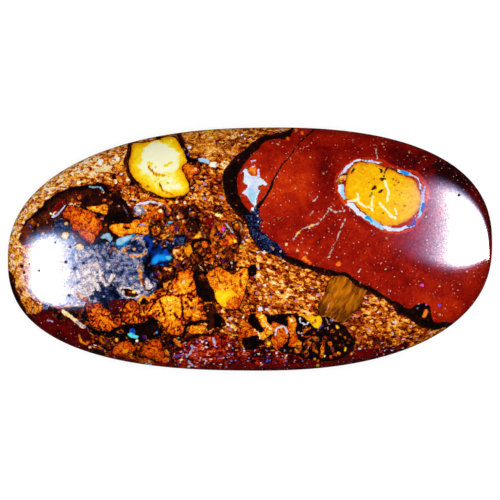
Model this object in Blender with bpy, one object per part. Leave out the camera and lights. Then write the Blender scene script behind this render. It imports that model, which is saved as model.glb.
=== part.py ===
"""A boulder opal cabochon: one polished oval stone, domed on top and lapped flat underneath.

The stone lies on its flat back. The origin is the middle of the back, under the centre of the outline's box,
+X runs along the stone and +Z points up through the dome. All lengths are in metres.
"""

import math

import bmesh
import bpy
from mathutils import Vector

# Driving dimensions
LENGTH = 0.0450
WIDTH = 0.0226
THICKNESS = 0.0070

# The outline is a fat oval, a superellipse, that is a little egg-shaped and bent like a shallow S
OUTLINE_POWER = 2.38
EGG = 0.028
LEFT_DROOP = 0.082
RIGHT_RISE = 0.042
TILT = math.radians(0.44)

# The dome rises from the girdle, the stone's widest line
GIRDLE_HEIGHT = 0.30 * THICKNESS
DOME_HEIGHT = THICKNESS - GIRDLE_HEIGHT
CROWN_POWER = 2.30
SHOULDER_POWER = 1.75

# Under the girdle the flank tapers in to the edge of the back
BACK_TAPER = 0.062
FLANK_POWER = 1.8

# The sphere that the stone is shaped from, and the ring below its middle where the back is sawn off
SEGMENTS = 112
RINGS = 44
SAWN_RING = 8
SAW_DEPTH = math.sin(math.pi * SAWN_RING / RINGS)

STONE_NAME = "opal_cabochon"


def signed_power(value, power):
    """Raises the size of a value to a power and keeps its sign."""
    return math.copysign(abs(value) ** power, value)


def outline_point(angle):
    """The outline at an angle from +X, for a stone one unit long and one unit wide each way from its middle."""
    along = signed_power(math.cos(angle), 2.0 / OUTLINE_POWER)
    across = signed_power(math.sin(angle), 2.0 / OUTLINE_POWER) * (1.0 + EGG * along)
    bend = RIGHT_RISE if along > 0.0 else -LEFT_DROOP
    return along, across + bend * along * along


def outline():
    """The outline in metres: the unit outline, stretched and tilted, then fitted to the length and width."""
    angles = [2.0 * math.pi * step / SEGMENTS for step in range(SEGMENTS)]
    half_length, half_width = LENGTH / 2.0, WIDTH / 2.0
    points = []
    for angle in angles:
        along, across = outline_point(angle)
        x, y = along * half_length, across * half_width
        points.append(
            Vector((x * math.cos(TILT) - y * math.sin(TILT), x * math.sin(TILT) + y * math.cos(TILT)))
        )
    low = Vector((min(p.x for p in points), min(p.y for p in points)))
    high = Vector((max(p.x for p in points), max(p.y for p in points)))
    middle = (low + high) / 2.0
    fit_x, fit_y = LENGTH / (high.x - low.x), WIDTH / (high.y - low.y)
    return [Vector(((p.x - middle.x) * fit_x, (p.y - middle.y) * fit_y)) for p in points]


def section(level):
    """The share of the outline and the height that belong to a level of the sphere, from -SAW_DEPTH to 1."""
    if level >= 0.0:
        share = (1.0 - level * level) ** (1.0 / CROWN_POWER)
        return share, GIRDLE_HEIGHT + DOME_HEIGHT * level ** (2.0 / SHOULDER_POWER)
    below = min(1.0, -level / SAW_DEPTH)
    return 1.0 - BACK_TAPER * below**FLANK_POWER, GIRDLE_HEIGHT * (1.0 - below)


def make_stone():
    """A sphere whose rings are moved on to the stone's outline and section, with its underside cut off flat."""
    stone = bmesh.new()
    bmesh.ops.create_uvsphere(stone, u_segments=SEGMENTS, v_segments=RINGS, radius=1.0)
    whole = stone.verts[:] + stone.edges[:] + stone.faces[:]
    cut = bmesh.ops.bisect_plane(
        stone,
        geom=whole,
        dist=1e-5,
        plane_co=(0.0, 0.0, -SAW_DEPTH),
        plane_no=(0.0, 0.0, -1.0),
        clear_outer=True,
    )
    rim = [item for item in cut["geom_cut"] if isinstance(item, bmesh.types.BMEdge)]
    bmesh.ops.edgeloop_fill(stone, edges=rim)

    edge = outline()
    step = 2.0 * math.pi / SEGMENTS
    for vertex in stone.verts:
        share, height = section(vertex.co.z)
        if math.hypot(vertex.co.x, vertex.co.y) < 1e-6:
            vertex.co = (0.0, 0.0, height)
            continue
        around = round(math.atan2(vertex.co.y, vertex.co.x) / step) % SEGMENTS
        vertex.co = (edge[around].x * share, edge[around].y * share, height)

    bmesh.ops.recalc_face_normals(stone, faces=stone.faces[:])
    mesh = bpy.data.meshes.new(STONE_NAME)
    stone.to_mesh(mesh)
    stone.free()
    mesh.shade_smooth()
    mesh.set_sharp_from_angle(angle=math.radians(35.0))
    return bpy.data.objects.new(STONE_NAME, mesh)


def polished_ironstone():
    """Rust-brown ironstone with a lapidary's polish."""
    material = bpy.data.materials.new("polished_ironstone")
    material.use_nodes = True
    shader = material.node_tree.nodes["Principled BSDF"]
    shader.inputs["Base Color"].default_value = (0.36, 0.10, 0.025, 1.0)
    shader.inputs["Roughness"].default_value = 0.15
    shader.inputs["Metallic"].default_value = 0.0
    return material


def main():
    """Clears the scene and builds the stone in its own collection."""
    for old in list(bpy.data.objects):
        bpy.data.objects.remove(old)
    collection = bpy.data.collections.new("boulder_opal")
    bpy.context.scene.collection.children.link(collection)
    stone = make_stone()
    stone.data.materials.append(polished_ironstone())
    collection.objects.link(stone)


main()
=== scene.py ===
"""The looks of a boulder opal cabochon: a polished oval of ironstone with jasper, ochre and opal in it.

The stone is one dense mesh on the CAD stone's own surface. Its markings are drawn as outlines and strokes in
millimetres, seen from above, and each belongs to a mineral. Every mineral is a layer on the mesh that holds
the distance to its own border, and the stone's material turns each one into a mineral's colour.
"""

import logging
import math
from dataclasses import dataclass
from enum import Enum
from typing import Any, Iterable, Sequence

import bpy
import numpy as np
from mathutils import Matrix, Vector

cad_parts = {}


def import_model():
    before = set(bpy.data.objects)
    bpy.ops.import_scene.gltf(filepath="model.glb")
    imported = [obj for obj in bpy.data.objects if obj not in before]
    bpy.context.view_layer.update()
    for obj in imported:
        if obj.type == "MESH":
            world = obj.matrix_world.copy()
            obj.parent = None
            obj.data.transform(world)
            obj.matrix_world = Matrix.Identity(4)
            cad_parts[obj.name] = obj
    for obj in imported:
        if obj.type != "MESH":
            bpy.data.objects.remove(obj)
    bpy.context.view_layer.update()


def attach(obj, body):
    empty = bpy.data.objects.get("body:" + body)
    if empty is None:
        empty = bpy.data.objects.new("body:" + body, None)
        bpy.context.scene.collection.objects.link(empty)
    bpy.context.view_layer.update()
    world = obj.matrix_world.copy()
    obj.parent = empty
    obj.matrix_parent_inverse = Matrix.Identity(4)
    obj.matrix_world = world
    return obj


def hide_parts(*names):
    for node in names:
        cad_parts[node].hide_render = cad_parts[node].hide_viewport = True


LOG = logging.getLogger("boulder_opal")

MM = 0.001
CAD_NODE = "opal_cabochon"
BODY = "root"

# Map Range's inputs go by number: 0 is the value, 1 and 2 its range, and 3 and 4 the range it is turned into
SMOOTH = {"interpolation_type": "SMOOTHSTEP"}
NOISE_LOW, NOISE_HIGH = 0.3, 0.7

Points = Sequence[tuple[float, float]]
Specks = Sequence[tuple[float, float, float]]
Tree = bpy.types.NodeTree
Socket = bpy.types.NodeSocket


def linear(colour: str) -> tuple[float, float, float, float]:
    """Turns an sRGB hex colour into linear light.

    Args:
        colour: The colour as #RRGGBB.

    Returns:
        Red, green, blue and an alpha of one.
    """
    shares = [int(colour[start : start + 2], 16) / 255.0 for start in (1, 3, 5)]
    parts = [s / 12.92 if s <= 0.04045 else ((s + 0.055) / 1.055) ** 2.4 for s in shares]
    return parts[0], parts[1], parts[2], 1.0


def add(
    tree: Tree,
    kind: str,
    settings: dict[str, Any] | None = None,
    inputs: dict[Any, Any] | None = None,
    stops: Iterable[tuple[float, str]] = (),
) -> bpy.types.Node:
    """Adds a shader node with its settings and links.

    Args:
        tree: The node tree to add to.
        kind: The node's type name in Blender.
        settings: Properties of the node by name.
        inputs: A number, a vector or another node's output socket for each named or numbered input.
        stops: For a colour ramp, its places from 0 to 1 with their sRGB hex colours.

    Returns:
        The new node.
    """
    made = tree.nodes.new(kind)
    for name, value in (settings or {}).items():
        setattr(made, name, value)
    for name, value in (inputs or {}).items():
        if isinstance(value, Socket):
            tree.links.new(value, made.inputs[name])
        else:
            made.inputs[name].default_value = value
    for number, (place, colour) in enumerate(stops):
        elements = made.color_ramp.elements
        element = elements[number] if number < 2 else elements.new(place)
        element.position = place
        element.color = linear(colour)
    return made


class Mineral(Enum):
    """The minerals that show in the polished face, each named for its layer on the mesh."""

    SAND = "sand"
    IRON = "ironstone"
    JASPER = "jasper"
    RUST = "rust"
    LIMONITE = "limonite"
    OCHRE = "ochre"
    KHAKI = "khaki"
    CHALK = "chalk"
    POTCH = "potch"
    BRECCIA = "breccia"
    OPAL = "opal"
    PIT = "pit"


SAND, IRON, JASPER, RUST, LIMONITE, OCHRE, KHAKI, CHALK, POTCH, BRECCIA, OPAL, PIT = Mineral


class Hue(Enum):
    """The colours that precious opal shows, as places on the opal's ramp."""

    VIOLET = 0.02
    INDIGO = 0.14
    NAVY = 0.22
    BLUE = 0.34
    SKY = 0.44
    CYAN = 0.52
    ICE = 0.60
    MILK = 0.68
    BLUSH = 0.72
    LILAC = 0.76
    GREEN = 0.84
    LIME = 0.91
    PINK = 0.98


def curve(points: Points, closed: bool, parts: int = 4) -> np.ndarray:
    """Runs a smooth line through given points.

    Args:
        points: The points, in order.
        closed: Whether the last point joins the first.
        parts: How many short lines each span is split into.

    Returns:
        The points of the smooth line, one per row.
    """
    given = np.array(points, float)
    if closed:
        before, after = np.roll(given, 1, 0), np.roll(given, -1, 0)
        further = np.roll(given, -2, 0)
    else:
        padded = np.vstack([2 * given[0] - given[1], given, 2 * given[-1] - given[-2]])
        before, given, after, further = padded[:-3], padded[1:-2], padded[2:-1], padded[3:]
    slope = after - before
    swing = 2.0 * before - 5.0 * given + 4.0 * after - further
    twist = 3.0 * given - before - 3.0 * after + further
    rows = [given + 0.5 * (slope * s + swing * s**2 + twist * s**3) for s in np.arange(parts) / parts]
    line = np.stack(rows, 1).reshape(-1, given.shape[1])
    return line if closed else np.vstack([line, np.array(points[-1], float)])


@dataclass
class Waves:
    """Smooth seeded noise over the plane, from a lattice of random heights.

    Attributes:
        seed: Picks the lattice.
        lattice: The lattice's length in cells, after which it repeats.
    """

    seed: int
    lattice: int = 128

    def at(self, points: np.ndarray, length: float) -> np.ndarray:
        """The noise from -1 to 1 at points in millimetres, with waves of about the given length."""
        heights = np.random.default_rng(self.seed).uniform(-1.0, 1.0, (self.lattice, self.lattice))
        scaled = points / length + 1000.0
        cell = np.floor(scaled).astype(int)
        share = scaled - cell
        share = share * share * (3.0 - 2.0 * share)
        low, high = cell % self.lattice, (cell + 1) % self.lattice
        (west, south), (east, north), (along, up) = low.T, high.T, share.T
        left = heights[west, south] * (1 - up) + heights[west, north] * up
        right = heights[east, south] * (1 - up) + heights[east, north] * up
        return left * (1 - along) + right * along


@dataclass(frozen=True)
class Patch:
    """An area of one mineral, drawn as a closed outline in millimetres.

    Attributes:
        mineral: What it is made of.
        outline: Its corners, which a smooth line runs through.
        tone: Where it lies on the mineral's colours, from -1, darkest, to 1, lightest.
        edge: Its tone at the border, if that differs.
        depth: How far in from the border that tone reaches, in millimetres.
        hue: Its colour, if it is opal.
        rim: The width of a dark ironstone line round it, in millimetres.
        waver: How much its border wanders, as a share of the usual.
    """

    mineral: Mineral
    outline: Points
    tone: float = 0.0
    edge: float | None = None
    depth: float = 0.25
    hue: Hue = Hue.ICE
    rim: float = 0.0
    waver: float = 1.0

    def inside(self, places: np.ndarray) -> np.ndarray:
        """How far each place is inside the outline, in millimetres, and below zero outside it."""
        line = curve(self.outline, closed=True)
        nearest = np.full(len(places), 1e9)
        within = np.zeros(len(places), bool)
        for start, end in zip(line, np.roll(line, -1, 0)):
            span = end - start
            along = np.clip((places - start) @ span / max(span @ span, 1e-12), 0.0, 1.0)
            nearest = np.minimum(nearest, np.hypot(*(places - start - along[:, None] * span).T))
            crosses = (start[1] > places[:, 1]) != (end[1] > places[:, 1])
            if crosses.any():
                at = start[0] + (places[:, 1] - start[1]) / (span[1] if span[1] else 1e-12) * span[0]
                within ^= crosses & (places[:, 0] < at)
        return np.where(within, nearest, -nearest)

    def box(self) -> tuple[np.ndarray, np.ndarray]:
        """The lowest and highest corner of the drawn points."""
        return np.min(self.outline, 0), np.max(self.outline, 0)


@dataclass(frozen=True)
class Stroke(Patch):
    """A line of one mineral. Its outline is the path, where a point may carry its own width as well.

    Attributes:
        width: The line's width where a point carries none, in millimetres.
    """

    width: float = 0.16

    def inside(self, places: np.ndarray) -> np.ndarray:
        """How far each place is inside the stroke, in millimetres, and below zero outside it."""
        path = [tuple(p) if len(p) == 3 else (*p, self.width) for p in self.outline]
        line = curve(path, closed=False)
        deepest = np.full(len(places), -1e9)
        for start, end in zip(line[:-1], line[1:]):
            span = end[:2] - start[:2]
            along = np.clip((places - start[:2]) @ span / max(span @ span, 1e-12), 0.0, 1.0)
            away = np.hypot(*(places - start[:2] - along[:, None] * span).T)
            half = (start[2] + (end[2] - start[2]) * along) / 2.0
            deepest = np.maximum(deepest, half - away)
        return deepest

    def box(self) -> tuple[np.ndarray, np.ndarray]:
        """The lowest and highest corner of the path."""
        path = np.array([p[:2] for p in self.outline])
        return path.min(0) - self.width, path.max(0) + self.width


@dataclass(frozen=True)
class Dots(Patch):
    """Round specks of one mineral. Each point of the outline is a speck's middle and its radius."""

    def inside(self, places: np.ndarray) -> np.ndarray:
        """How far each place is inside the nearest speck, in millimetres, and below zero outside them."""
        deepest = np.full(len(places), -1e9)
        for x, y, radius in self.outline:
            deepest = np.maximum(deepest, radius - np.hypot(places[:, 0] - x, places[:, 1] - y))
        return deepest

    def box(self) -> tuple[np.ndarray, np.ndarray]:
        """The lowest and highest corner of the specks."""
        specks = np.array(self.outline)
        return (specks[:, :2] - specks[:, 2:]).min(0), (specks[:, :2] + specks[:, 2:]).max(0)


@dataclass(frozen=True)
class Shade:
    """A soft cloud that lightens or darkens one mineral.

    Attributes:
        only: The one mineral that it changes.
        x, y: Its middle, in millimetres.
        length, width: Its reach along and across, in millimetres.
        amount: What it adds to the tone at its middle.
        turn: How far its length is turned from +X, in degrees.
    """

    only: Mineral
    x: float
    y: float
    length: float
    width: float
    amount: float
    turn: float = 0.0


class Face:
    """The stone's polished face as layers of numbers on its points, which the markings are drawn on.

    Attributes:
        reach: How far outside its border a layer is still kept, in millimetres.
        overlap: How far a mineral runs on under one drawn over it, in millimetres.
        spill: How far outside its border a marking's tone is set, in millimetres.
        opal_spill: How far outside its border an opal's hue is set, in millimetres.
        rim_tone: The tone of the ironstone line round a patch.
        waves: The lengths of the slow and the quick waves in the borders, with how far each moves them, in
            millimetres.
    """

    reach = 0.6
    overlap = 0.05
    spill = 0.04
    opal_spill = 3 * spill
    rim_tone = -0.1
    waves = ((1.1, 0.10), (0.37, 0.055))

    def __init__(self, places: np.ndarray) -> None:
        """Starts with bare sandstone at the given places, in millimetres seen from above."""
        self.places = places
        self.layers = {m: np.full(len(places), -self.reach) for m in Mineral if m is not SAND}
        self.tone = np.zeros(len(places))
        self.hue = np.full(len(places), Hue.ICE.value)
        (slow, far), (quick, near) = self.waves
        slowly = np.stack([Waves(11).at(places, slow), Waves(12).at(places, slow)], 1)
        quickly = np.stack([Waves(13).at(places, quick), Waves(14).at(places, quick)], 1)
        self.wander = far * slowly + near * quickly

    def draw(self, mark: Patch) -> None:
        """Draws one marking over what is there.

        Args:
            mark: The patch, stroke or specks.
        """
        low, high = mark.box()
        margin = self.reach + mark.rim
        near = ((self.places > low - margin) & (self.places < high + margin)).all(1)
        chosen = np.flatnonzero(near)
        if not len(chosen):
            return
        inside = mark.inside(self.places[chosen] + mark.waver * self.wander[chosen])
        if mark.rim:
            self._lay(IRON, chosen, inside + mark.rim, np.full(len(chosen), self.rim_tone))
        tones = np.full(len(chosen), mark.tone)
        if mark.edge is not None:
            fade = np.exp(-np.maximum(inside, 0.0) / mark.depth)
            tones += (mark.edge - mark.tone) * fade
        self._lay(mark.mineral, chosen, inside, tones)
        if mark.mineral is OPAL:
            covered = chosen[inside > -self.opal_spill]
            self.hue[covered] = mark.hue.value

    def _lay(self, mineral: Mineral, chosen: np.ndarray, inside: np.ndarray, tones: np.ndarray) -> None:
        """Gives the places inside a border to one mineral, and takes them from the others.

        The minerals of FINISHES are laid over each other in their order, so where two meet, the lower one
        runs on a little under the upper one.
        """
        order = list(FINISHES)
        above = [m for m in self.layers if order.index(m) > order.index(mineral)]
        hidden = np.zeros(len(chosen), bool)
        for other in above:
            hidden |= self.layers[other][chosen] > 0.0
        for other, layer in self.layers.items():
            if other is mineral:
                layer[chosen] = np.maximum(layer[chosen], inside + self.overlap * hidden)
            else:
                under = 0.0 if other in above else self.overlap
                layer[chosen] = np.minimum(layer[chosen], under - inside)
        covered = inside > -self.spill
        self.tone[chosen[covered]] = tones[covered]

    def cloud(self, shade: Shade) -> None:
        """Adds one soft cloud to the tone."""
        angle = math.radians(shade.turn)
        away = self.places - (shade.x, shade.y)
        along = (away[:, 0] * math.cos(angle) + away[:, 1] * math.sin(angle)) / shade.length
        across = (away[:, 1] * math.cos(angle) - away[:, 0] * math.sin(angle)) / shade.width
        strength = np.exp(-(along**2 + across**2))
        if shade.only is SAND:
            strength = strength * (np.max(list(self.layers.values()), 0) < 0.0)
        else:
            strength = strength * (self.layers[shade.only] > -self.spill)
        self.tone += shade.amount * strength

    def write(self, mesh: bpy.types.Mesh) -> None:
        """Puts the layers on the mesh as attributes."""
        named = {m.value: layer for m, layer in self.layers.items()}
        for name, values in {**named, "tone": self.tone, "hue": self.hue}.items():
            attribute = mesh.attributes.new(name, "FLOAT", "POINT")
            attribute.data.foreach_set("value", np.asarray(values, np.float32))


class Texture(Enum):
    """The kinds of texture that a finish is built from."""

    CLOUDS = "soft clouds"
    GRAINS = "packed grains, each with a tone of its own"
    FOLDS = "thin dark lines that follow each other like the bands of agate"
    CRACKS = "a net of dark cracks"
    SPECKS = "scattered round specks"


CLOUDS, GRAINS, FOLDS, CRACKS, SPECKS = Texture


@dataclass(frozen=True)
class Layer:
    """One texture in a finish.

    Attributes:
        texture: Its kind.
        size: The size of its clouds, grains or folds, or how far apart cracks or specks are, in millimetres.
        amount: How far it moves the tone.
        width: How wide its lines or specks are, in millimetres.
        twist: How far it is distorted, as a share of its size.
    """

    texture: Texture
    size: float
    amount: float
    width: float = 0.1
    twist: float = 0.6

    def nodes(self, tree: Tree, place: Socket) -> Socket:
        """Builds the texture, from -1 to 1, or from 0 to 1 for lines and specks.

        Args:
            tree: The material's node tree.
            place: Where the surface is, in millimetres.

        Returns:
            The texture's socket.
        """
        scale = 1.0 / self.size
        if self.texture in (CLOUDS, FOLDS):
            clouds = {"Vector": place, "Scale": scale, "Detail": 4.0, "Distortion": self.twist}
            noise = add(tree, "ShaderNodeTexNoise", inputs=clouds).outputs[0]
            if self.texture is CLOUDS:
                spread = {0: noise, 1: NOISE_LOW, 2: NOISE_HIGH, 3: -1.0, 4: 1.0}
                return add(tree, "ShaderNodeMapRange", {"clamp": False}, spread).outputs[0]
            phase = add(tree, "ShaderNodeMath", {"operation": "MULTIPLY"}, {0: noise, 1: 7.0}).outputs[0]
            away = add(tree, "ShaderNodeMath", {"operation": "PINGPONG"}, {0: phase, 1: 0.5}).outputs[0]
            line = {0: away, 2: 2.1 * self.width * scale, 3: 1.0, 4: 0.0}
            return add(tree, "ShaderNodeMapRange", SMOOTH, line).outputs[0]
        bend = add(tree, "ShaderNodeTexNoise", inputs={"Vector": place, "Scale": 0.8 * scale, "Detail": 2.0})
        shifted = {0: bend.outputs["Color"], 1: (1.6 * self.twist * self.size,) * 3, 2: place}
        bent = add(tree, "ShaderNodeVectorMath", {"operation": "MULTIPLY_ADD"}, shifted).outputs[0]
        edges = self.texture is CRACKS
        feature = {"feature": "DISTANCE_TO_EDGE" if edges else "F1"}
        cells = add(tree, "ShaderNodeTexVoronoi", feature, {"Vector": bent, "Scale": scale})
        if edges:
            wide = self.width * scale
            line = {0: cells.outputs["Distance"], 1: 0.15 * wide, 2: wide, 3: 1.0, 4: 0.0}
            return add(tree, "ShaderNodeMapRange", SMOOTH, line).outputs[0]
        chance = add(tree, "ShaderNodeSeparateColor", inputs={"Color": cells.outputs["Color"]})
        if self.texture is GRAINS:
            ends = {0: chance.outputs[0], 3: -1.0, 4: 1.0}
            return add(tree, "ShaderNodeMapRange", SMOOTH, ends).outputs[0]
        ends = {0: chance.outputs[0], 1: 0.3, 4: self.width * scale}
        reach = add(tree, "ShaderNodeMapRange", SMOOTH, ends).outputs[0]
        ends = {0: reach, 1: cells.outputs["Distance"]}
        inside = add(tree, "ShaderNodeMath", {"operation": "SUBTRACT"}, ends).outputs[0]
        return add(tree, "ShaderNodeMapRange", SMOOTH, {0: inside, 1: -0.02, 2: 0.06}).outputs[0]


@dataclass(frozen=True)
class Finish:
    """How one mineral looks once it is cut and polished.

    Attributes:
        stops: Its colours from dark to light, each at its tone from -1 to 1.
        layers: The textures that move its tone.
        strays: The colours of its odd grains.
        stray_size: The size of the odd grains, in millimetres.
        stray_share: How many of its grains are odd ones.
        stretch: How much longer its texture is than wide.
        turn: Which way its texture runs, in degrees from +X.
    """

    stops: Sequence[tuple[float, str]]
    layers: Sequence[Layer]
    strays: Sequence[tuple[float, str]] = ()
    stray_size: float = 0.24
    stray_share: float = 0.1
    stretch: float = 1.0
    turn: float = 0.0

    def colour(self, tree: Tree, place: Socket, tone: Socket) -> Socket:
        """Builds the mineral's colour.

        Args:
            tree: The material's node tree.
            place: Where the surface is, in millimetres.
            tone: The tone that the markings give.

        Returns:
            The colour's socket.
        """
        if self.stretch != 1.0:
            turn, scale = (0.0, 0.0, math.radians(self.turn)), (self.stretch, 1.0, 1.0)
            laid = {"Vector": place, "Rotation": turn, "Scale": scale}
            place = add(tree, "ShaderNodeMapping", {"vector_type": "TEXTURE"}, laid).outputs[0]
        for layer in self.layers:
            moved = {0: layer.nodes(tree, place), 1: layer.amount, 2: tone}
            tone = add(tree, "ShaderNodeMath", {"operation": "MULTIPLY_ADD"}, moved).outputs[0]
        share = add(tree, "ShaderNodeMapRange", inputs={0: tone, 1: -1.0}).outputs[0]
        ramp = [((at + 1.0) / 2.0, colour) for at, colour in self.stops]
        colour = add(tree, "ShaderNodeValToRGB", inputs={"Fac": share}, stops=ramp).outputs[0]
        if not self.strays:
            return colour
        cells = add(tree, "ShaderNodeTexVoronoi", inputs={"Vector": place, "Scale": 1.0 / self.stray_size})
        chance = add(tree, "ShaderNodeSeparateColor", inputs={"Color": cells.outputs["Color"]})
        stray = add(tree, "ShaderNodeValToRGB", inputs={0: chance.outputs[2]}, stops=self.strays).outputs[0]
        limit = 1.0 - self.stray_share
        ends = {0: chance.outputs[1], 1: limit - 0.01, 2: limit + 0.01, 4: 0.9}
        odd = add(tree, "ShaderNodeMapRange", SMOOTH, ends).outputs[0]
        return add(tree, "ShaderNodeMix", {"data_type": "RGBA"}, {0: odd, 6: colour, 7: stray}).outputs[2]


# Quartz sand set in iron oxide and cut through, so each grain is a fleck between rust and white
SANDY_IRONSTONE = Finish(
    stops=(
        (-1.0, "#100200"), (-0.65, "#480A00"), (-0.35, "#8C2800"), (-0.05, "#C05400"), (0.2, "#E4800C"),
        (0.45, "#FCA82C"), (0.75, "#FFC662"), (1.0, "#FFF4D4"),
    ),
    layers=(
        Layer(CLOUDS, 1.3, 0.18),
        Layer(GRAINS, 0.30, 0.48),
        Layer(GRAINS, 0.17, 0.38),
        Layer(CRACKS, 0.34, -0.36, width=0.06),
    ),
    strays=((0.0, "#4A0400"), (0.4, "#A81C00"), (0.7, "#D04406"), (0.88, "#B090B8"), (1.0, "#FFFFFF")),
    stray_size=0.2,
    stray_share=0.12,
    stretch=1.5,
    turn=-20.0,
)

# Dense limonite and manganese with no quartz in it, polished to a black-brown mirror
BLACK_IRONSTONE = Finish(
    stops=(
        (-1.0, "#000000"), (-0.3, "#050202"), (0.0, "#0E0504"), (0.35, "#3C0E06"), (0.7, "#7A2C08"),
        (1.0, "#C06818"),
    ),
    layers=(
        Layer(CLOUDS, 0.7, 0.20),
        Layer(CLOUDS, 0.2, 0.12),
        Layer(SPECKS, 0.45, 0.7, width=0.13),
        Layer(FOLDS, 1.5, 0.26, width=0.1, twist=2.0),
    ),
)

# Chalcedony stained by haematite. It is even and deep, so it shows clouds and pale specks rather than grains
RED_JASPER = Finish(
    stops=(
        (-1.0, "#040206"), (-0.65, "#2C0206"), (-0.3, "#6C0402"), (0.0, "#940E02"), (0.35, "#BC2402"),
        (0.7, "#E04C04"), (1.0, "#F68A24"),
    ),
    layers=(
        Layer(CLOUDS, 2.6, 0.20, twist=1.0),
        Layer(CLOUDS, 0.5, 0.10),
        Layer(GRAINS, 0.13, 0.08),
        Layer(FOLDS, 9.0, -0.22, width=0.10, twist=0.8),
    ),
    strays=((0.0, "#B84830"), (0.5, "#D08070"), (1.0, "#F0D0C0")),
    stray_size=0.09,
    stray_share=0.012,
)

# Iron oxide that seeped in as mud, whose curls and clouds stayed when it set
RUST_SWIRLS = Finish(
    stops=(
        (-1.0, "#020102"), (-0.5, "#240600"), (-0.1, "#621A00"), (0.2, "#9C3C02"), (0.5, "#D26A06"),
        (0.8, "#F49620"), (1.0, "#FFCC70"),
    ),
    layers=(
        Layer(CLOUDS, 1.4, 0.62, twist=2.5),
        Layer(FOLDS, 2.0, -1.1, width=0.16, twist=1.6),
        Layer(FOLDS, 2.6, 0.50, width=0.09, twist=2.2),
        Layer(CLOUDS, 0.25, 0.14),
    ),
    strays=((0.0, "#101C50"), (0.5, "#3A2A80"), (1.0, "#E8C8B0")),
    stray_size=0.16,
    stray_share=0.025,
)

# Yellow-orange limonite gel that shrank as it dried, with soft folds and many short cracks like a brain's
CRACKED_LIMONITE = Finish(
    stops=(
        (-1.0, "#200400"), (-0.6, "#701600"), (-0.25, "#D23C00"), (0.05, "#EE6C02"), (0.35, "#FA9E06"),
        (0.65, "#FFC61C"), (1.0, "#FFF060"),
    ),
    layers=(
        Layer(CLOUDS, 1.0, 0.38, twist=2.0),
        Layer(CLOUDS, 0.25, 0.24, twist=1.5),
        Layer(FOLDS, 2.2, -0.85, width=0.13, twist=2.2),
        Layer(FOLDS, 1.1, 0.35, width=0.08, twist=1.8),
        Layer(CRACKS, 1.9, -0.28, width=0.10, twist=2.2),
    ),
)

# Fine yellow ochre jasper, smooth as butter, with brown freckles, and cream where it holds the least iron
YELLOW_OCHRE = Finish(
    stops=(
        (-1.0, "#241000"), (-0.65, "#743602"), (-0.35, "#B86404"), (-0.1, "#E48202"), (0.15, "#F8A800"),
        (0.45, "#FFCC02"), (0.7, "#FFE628"), (0.85, "#FFF48C"), (1.0, "#FFFCD4"),
    ),
    layers=(
        Layer(CLOUDS, 0.9, 0.16, twist=1.5),
        Layer(CLOUDS, 0.3, 0.18, twist=1.5),
        Layer(SPECKS, 0.6, -0.6, width=0.13),
    ),
)

# The same jasper where it is brown and fibrous, like weathered wood
KHAKI_JASPER = Finish(
    stops=YELLOW_OCHRE.stops,
    layers=(Layer(CLOUDS, 0.38, 0.24, twist=0.3), Layer(GRAINS, 0.16, 0.12)),
    stretch=4.0,
    turn=62.0,
)

# Porous white silica and kaolin, cream where iron has stained it
CREAM_SILICA = Finish(
    stops=(
        (-1.0, "#5A3020"), (-0.5, "#C07C4C"), (-0.1, "#EEC080"), (0.2, "#F8E4A0"), (0.5, "#FEF8C8"),
        (0.8, "#FEFAF0"), (1.0, "#FFFFFF"),
    ),
    layers=(
        Layer(CLOUDS, 0.9, 0.16),
        Layer(CLOUDS, 0.2, 0.22),
        Layer(FOLDS, 1.2, -0.4, width=0.12, twist=1.5),
    ),
)

# Common opal with no play of colour, from inky navy to lavender, silted with peach-coloured clay
POTCH_OPAL = Finish(
    stops=(
        (-1.0, "#02020A"), (-0.6, "#0A1236"), (-0.3, "#263462"), (0.0, "#566690"), (0.25, "#8A90B4"),
        (0.45, "#BCA8B4"), (0.65, "#E0BC9C"), (0.85, "#F0DCD0"), (1.0, "#F4F4FF"),
    ),
    layers=(
        Layer(CLOUDS, 1.6, 0.50, twist=3.0),
        Layer(CLOUDS, 0.5, 0.30, twist=3.0),
        Layer(CLOUDS, 0.2, 0.12),
        Layer(FOLDS, 1.8, -0.7, width=0.13, twist=2.5),
        Layer(FOLDS, 1.3, 0.45, width=0.11, twist=2.5),
    ),
    strays=((0.0, "#1C1210"), (0.4, "#8C6048"), (0.7, "#C89878"), (1.0, "#B8D0F0")),
    stray_size=0.18,
    stray_share=0.025,
)

# Broken red jasper and opal chips healed together
RED_BRECCIA = Finish(
    stops=(
        (-1.0, "#0C0102"), (-0.5, "#480200"), (-0.1, "#8A0C02"), (0.3, "#BC2A06"), (0.6, "#DC5018"),
        (0.82, "#EC9060"), (1.0, "#FCECE0"),
    ),
    layers=(
        Layer(CLOUDS, 1.2, 0.40, twist=1.5),
        Layer(GRAINS, 0.28, 0.44),
        Layer(GRAINS, 0.15, 0.30),
        Layer(CRACKS, 0.42, -0.30, width=0.07),
    ),
    strays=((0.0, "#301060"), (0.3, "#8870C8"), (0.55, "#C0A8E8"), (0.8, "#F0D0C0"), (1.0, "#F8F0F0")),
    stray_size=0.17,
    stray_share=0.06,
)

# The minerals over the sandstone, from the lowest up. Precious opal takes its colours from its own ramp
FINISHES = {
    BRECCIA: RED_BRECCIA,
    RUST: RUST_SWIRLS,
    IRON: BLACK_IRONSTONE,
    JASPER: RED_JASPER,
    POTCH: POTCH_OPAL,
    OCHRE: YELLOW_OCHRE,
    KHAKI: KHAKI_JASPER,
    LIMONITE: CRACKED_LIMONITE,
    CHALK: CREAM_SILICA,
    OPAL: None,
    PIT: BLACK_IRONSTONE,
}

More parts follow.
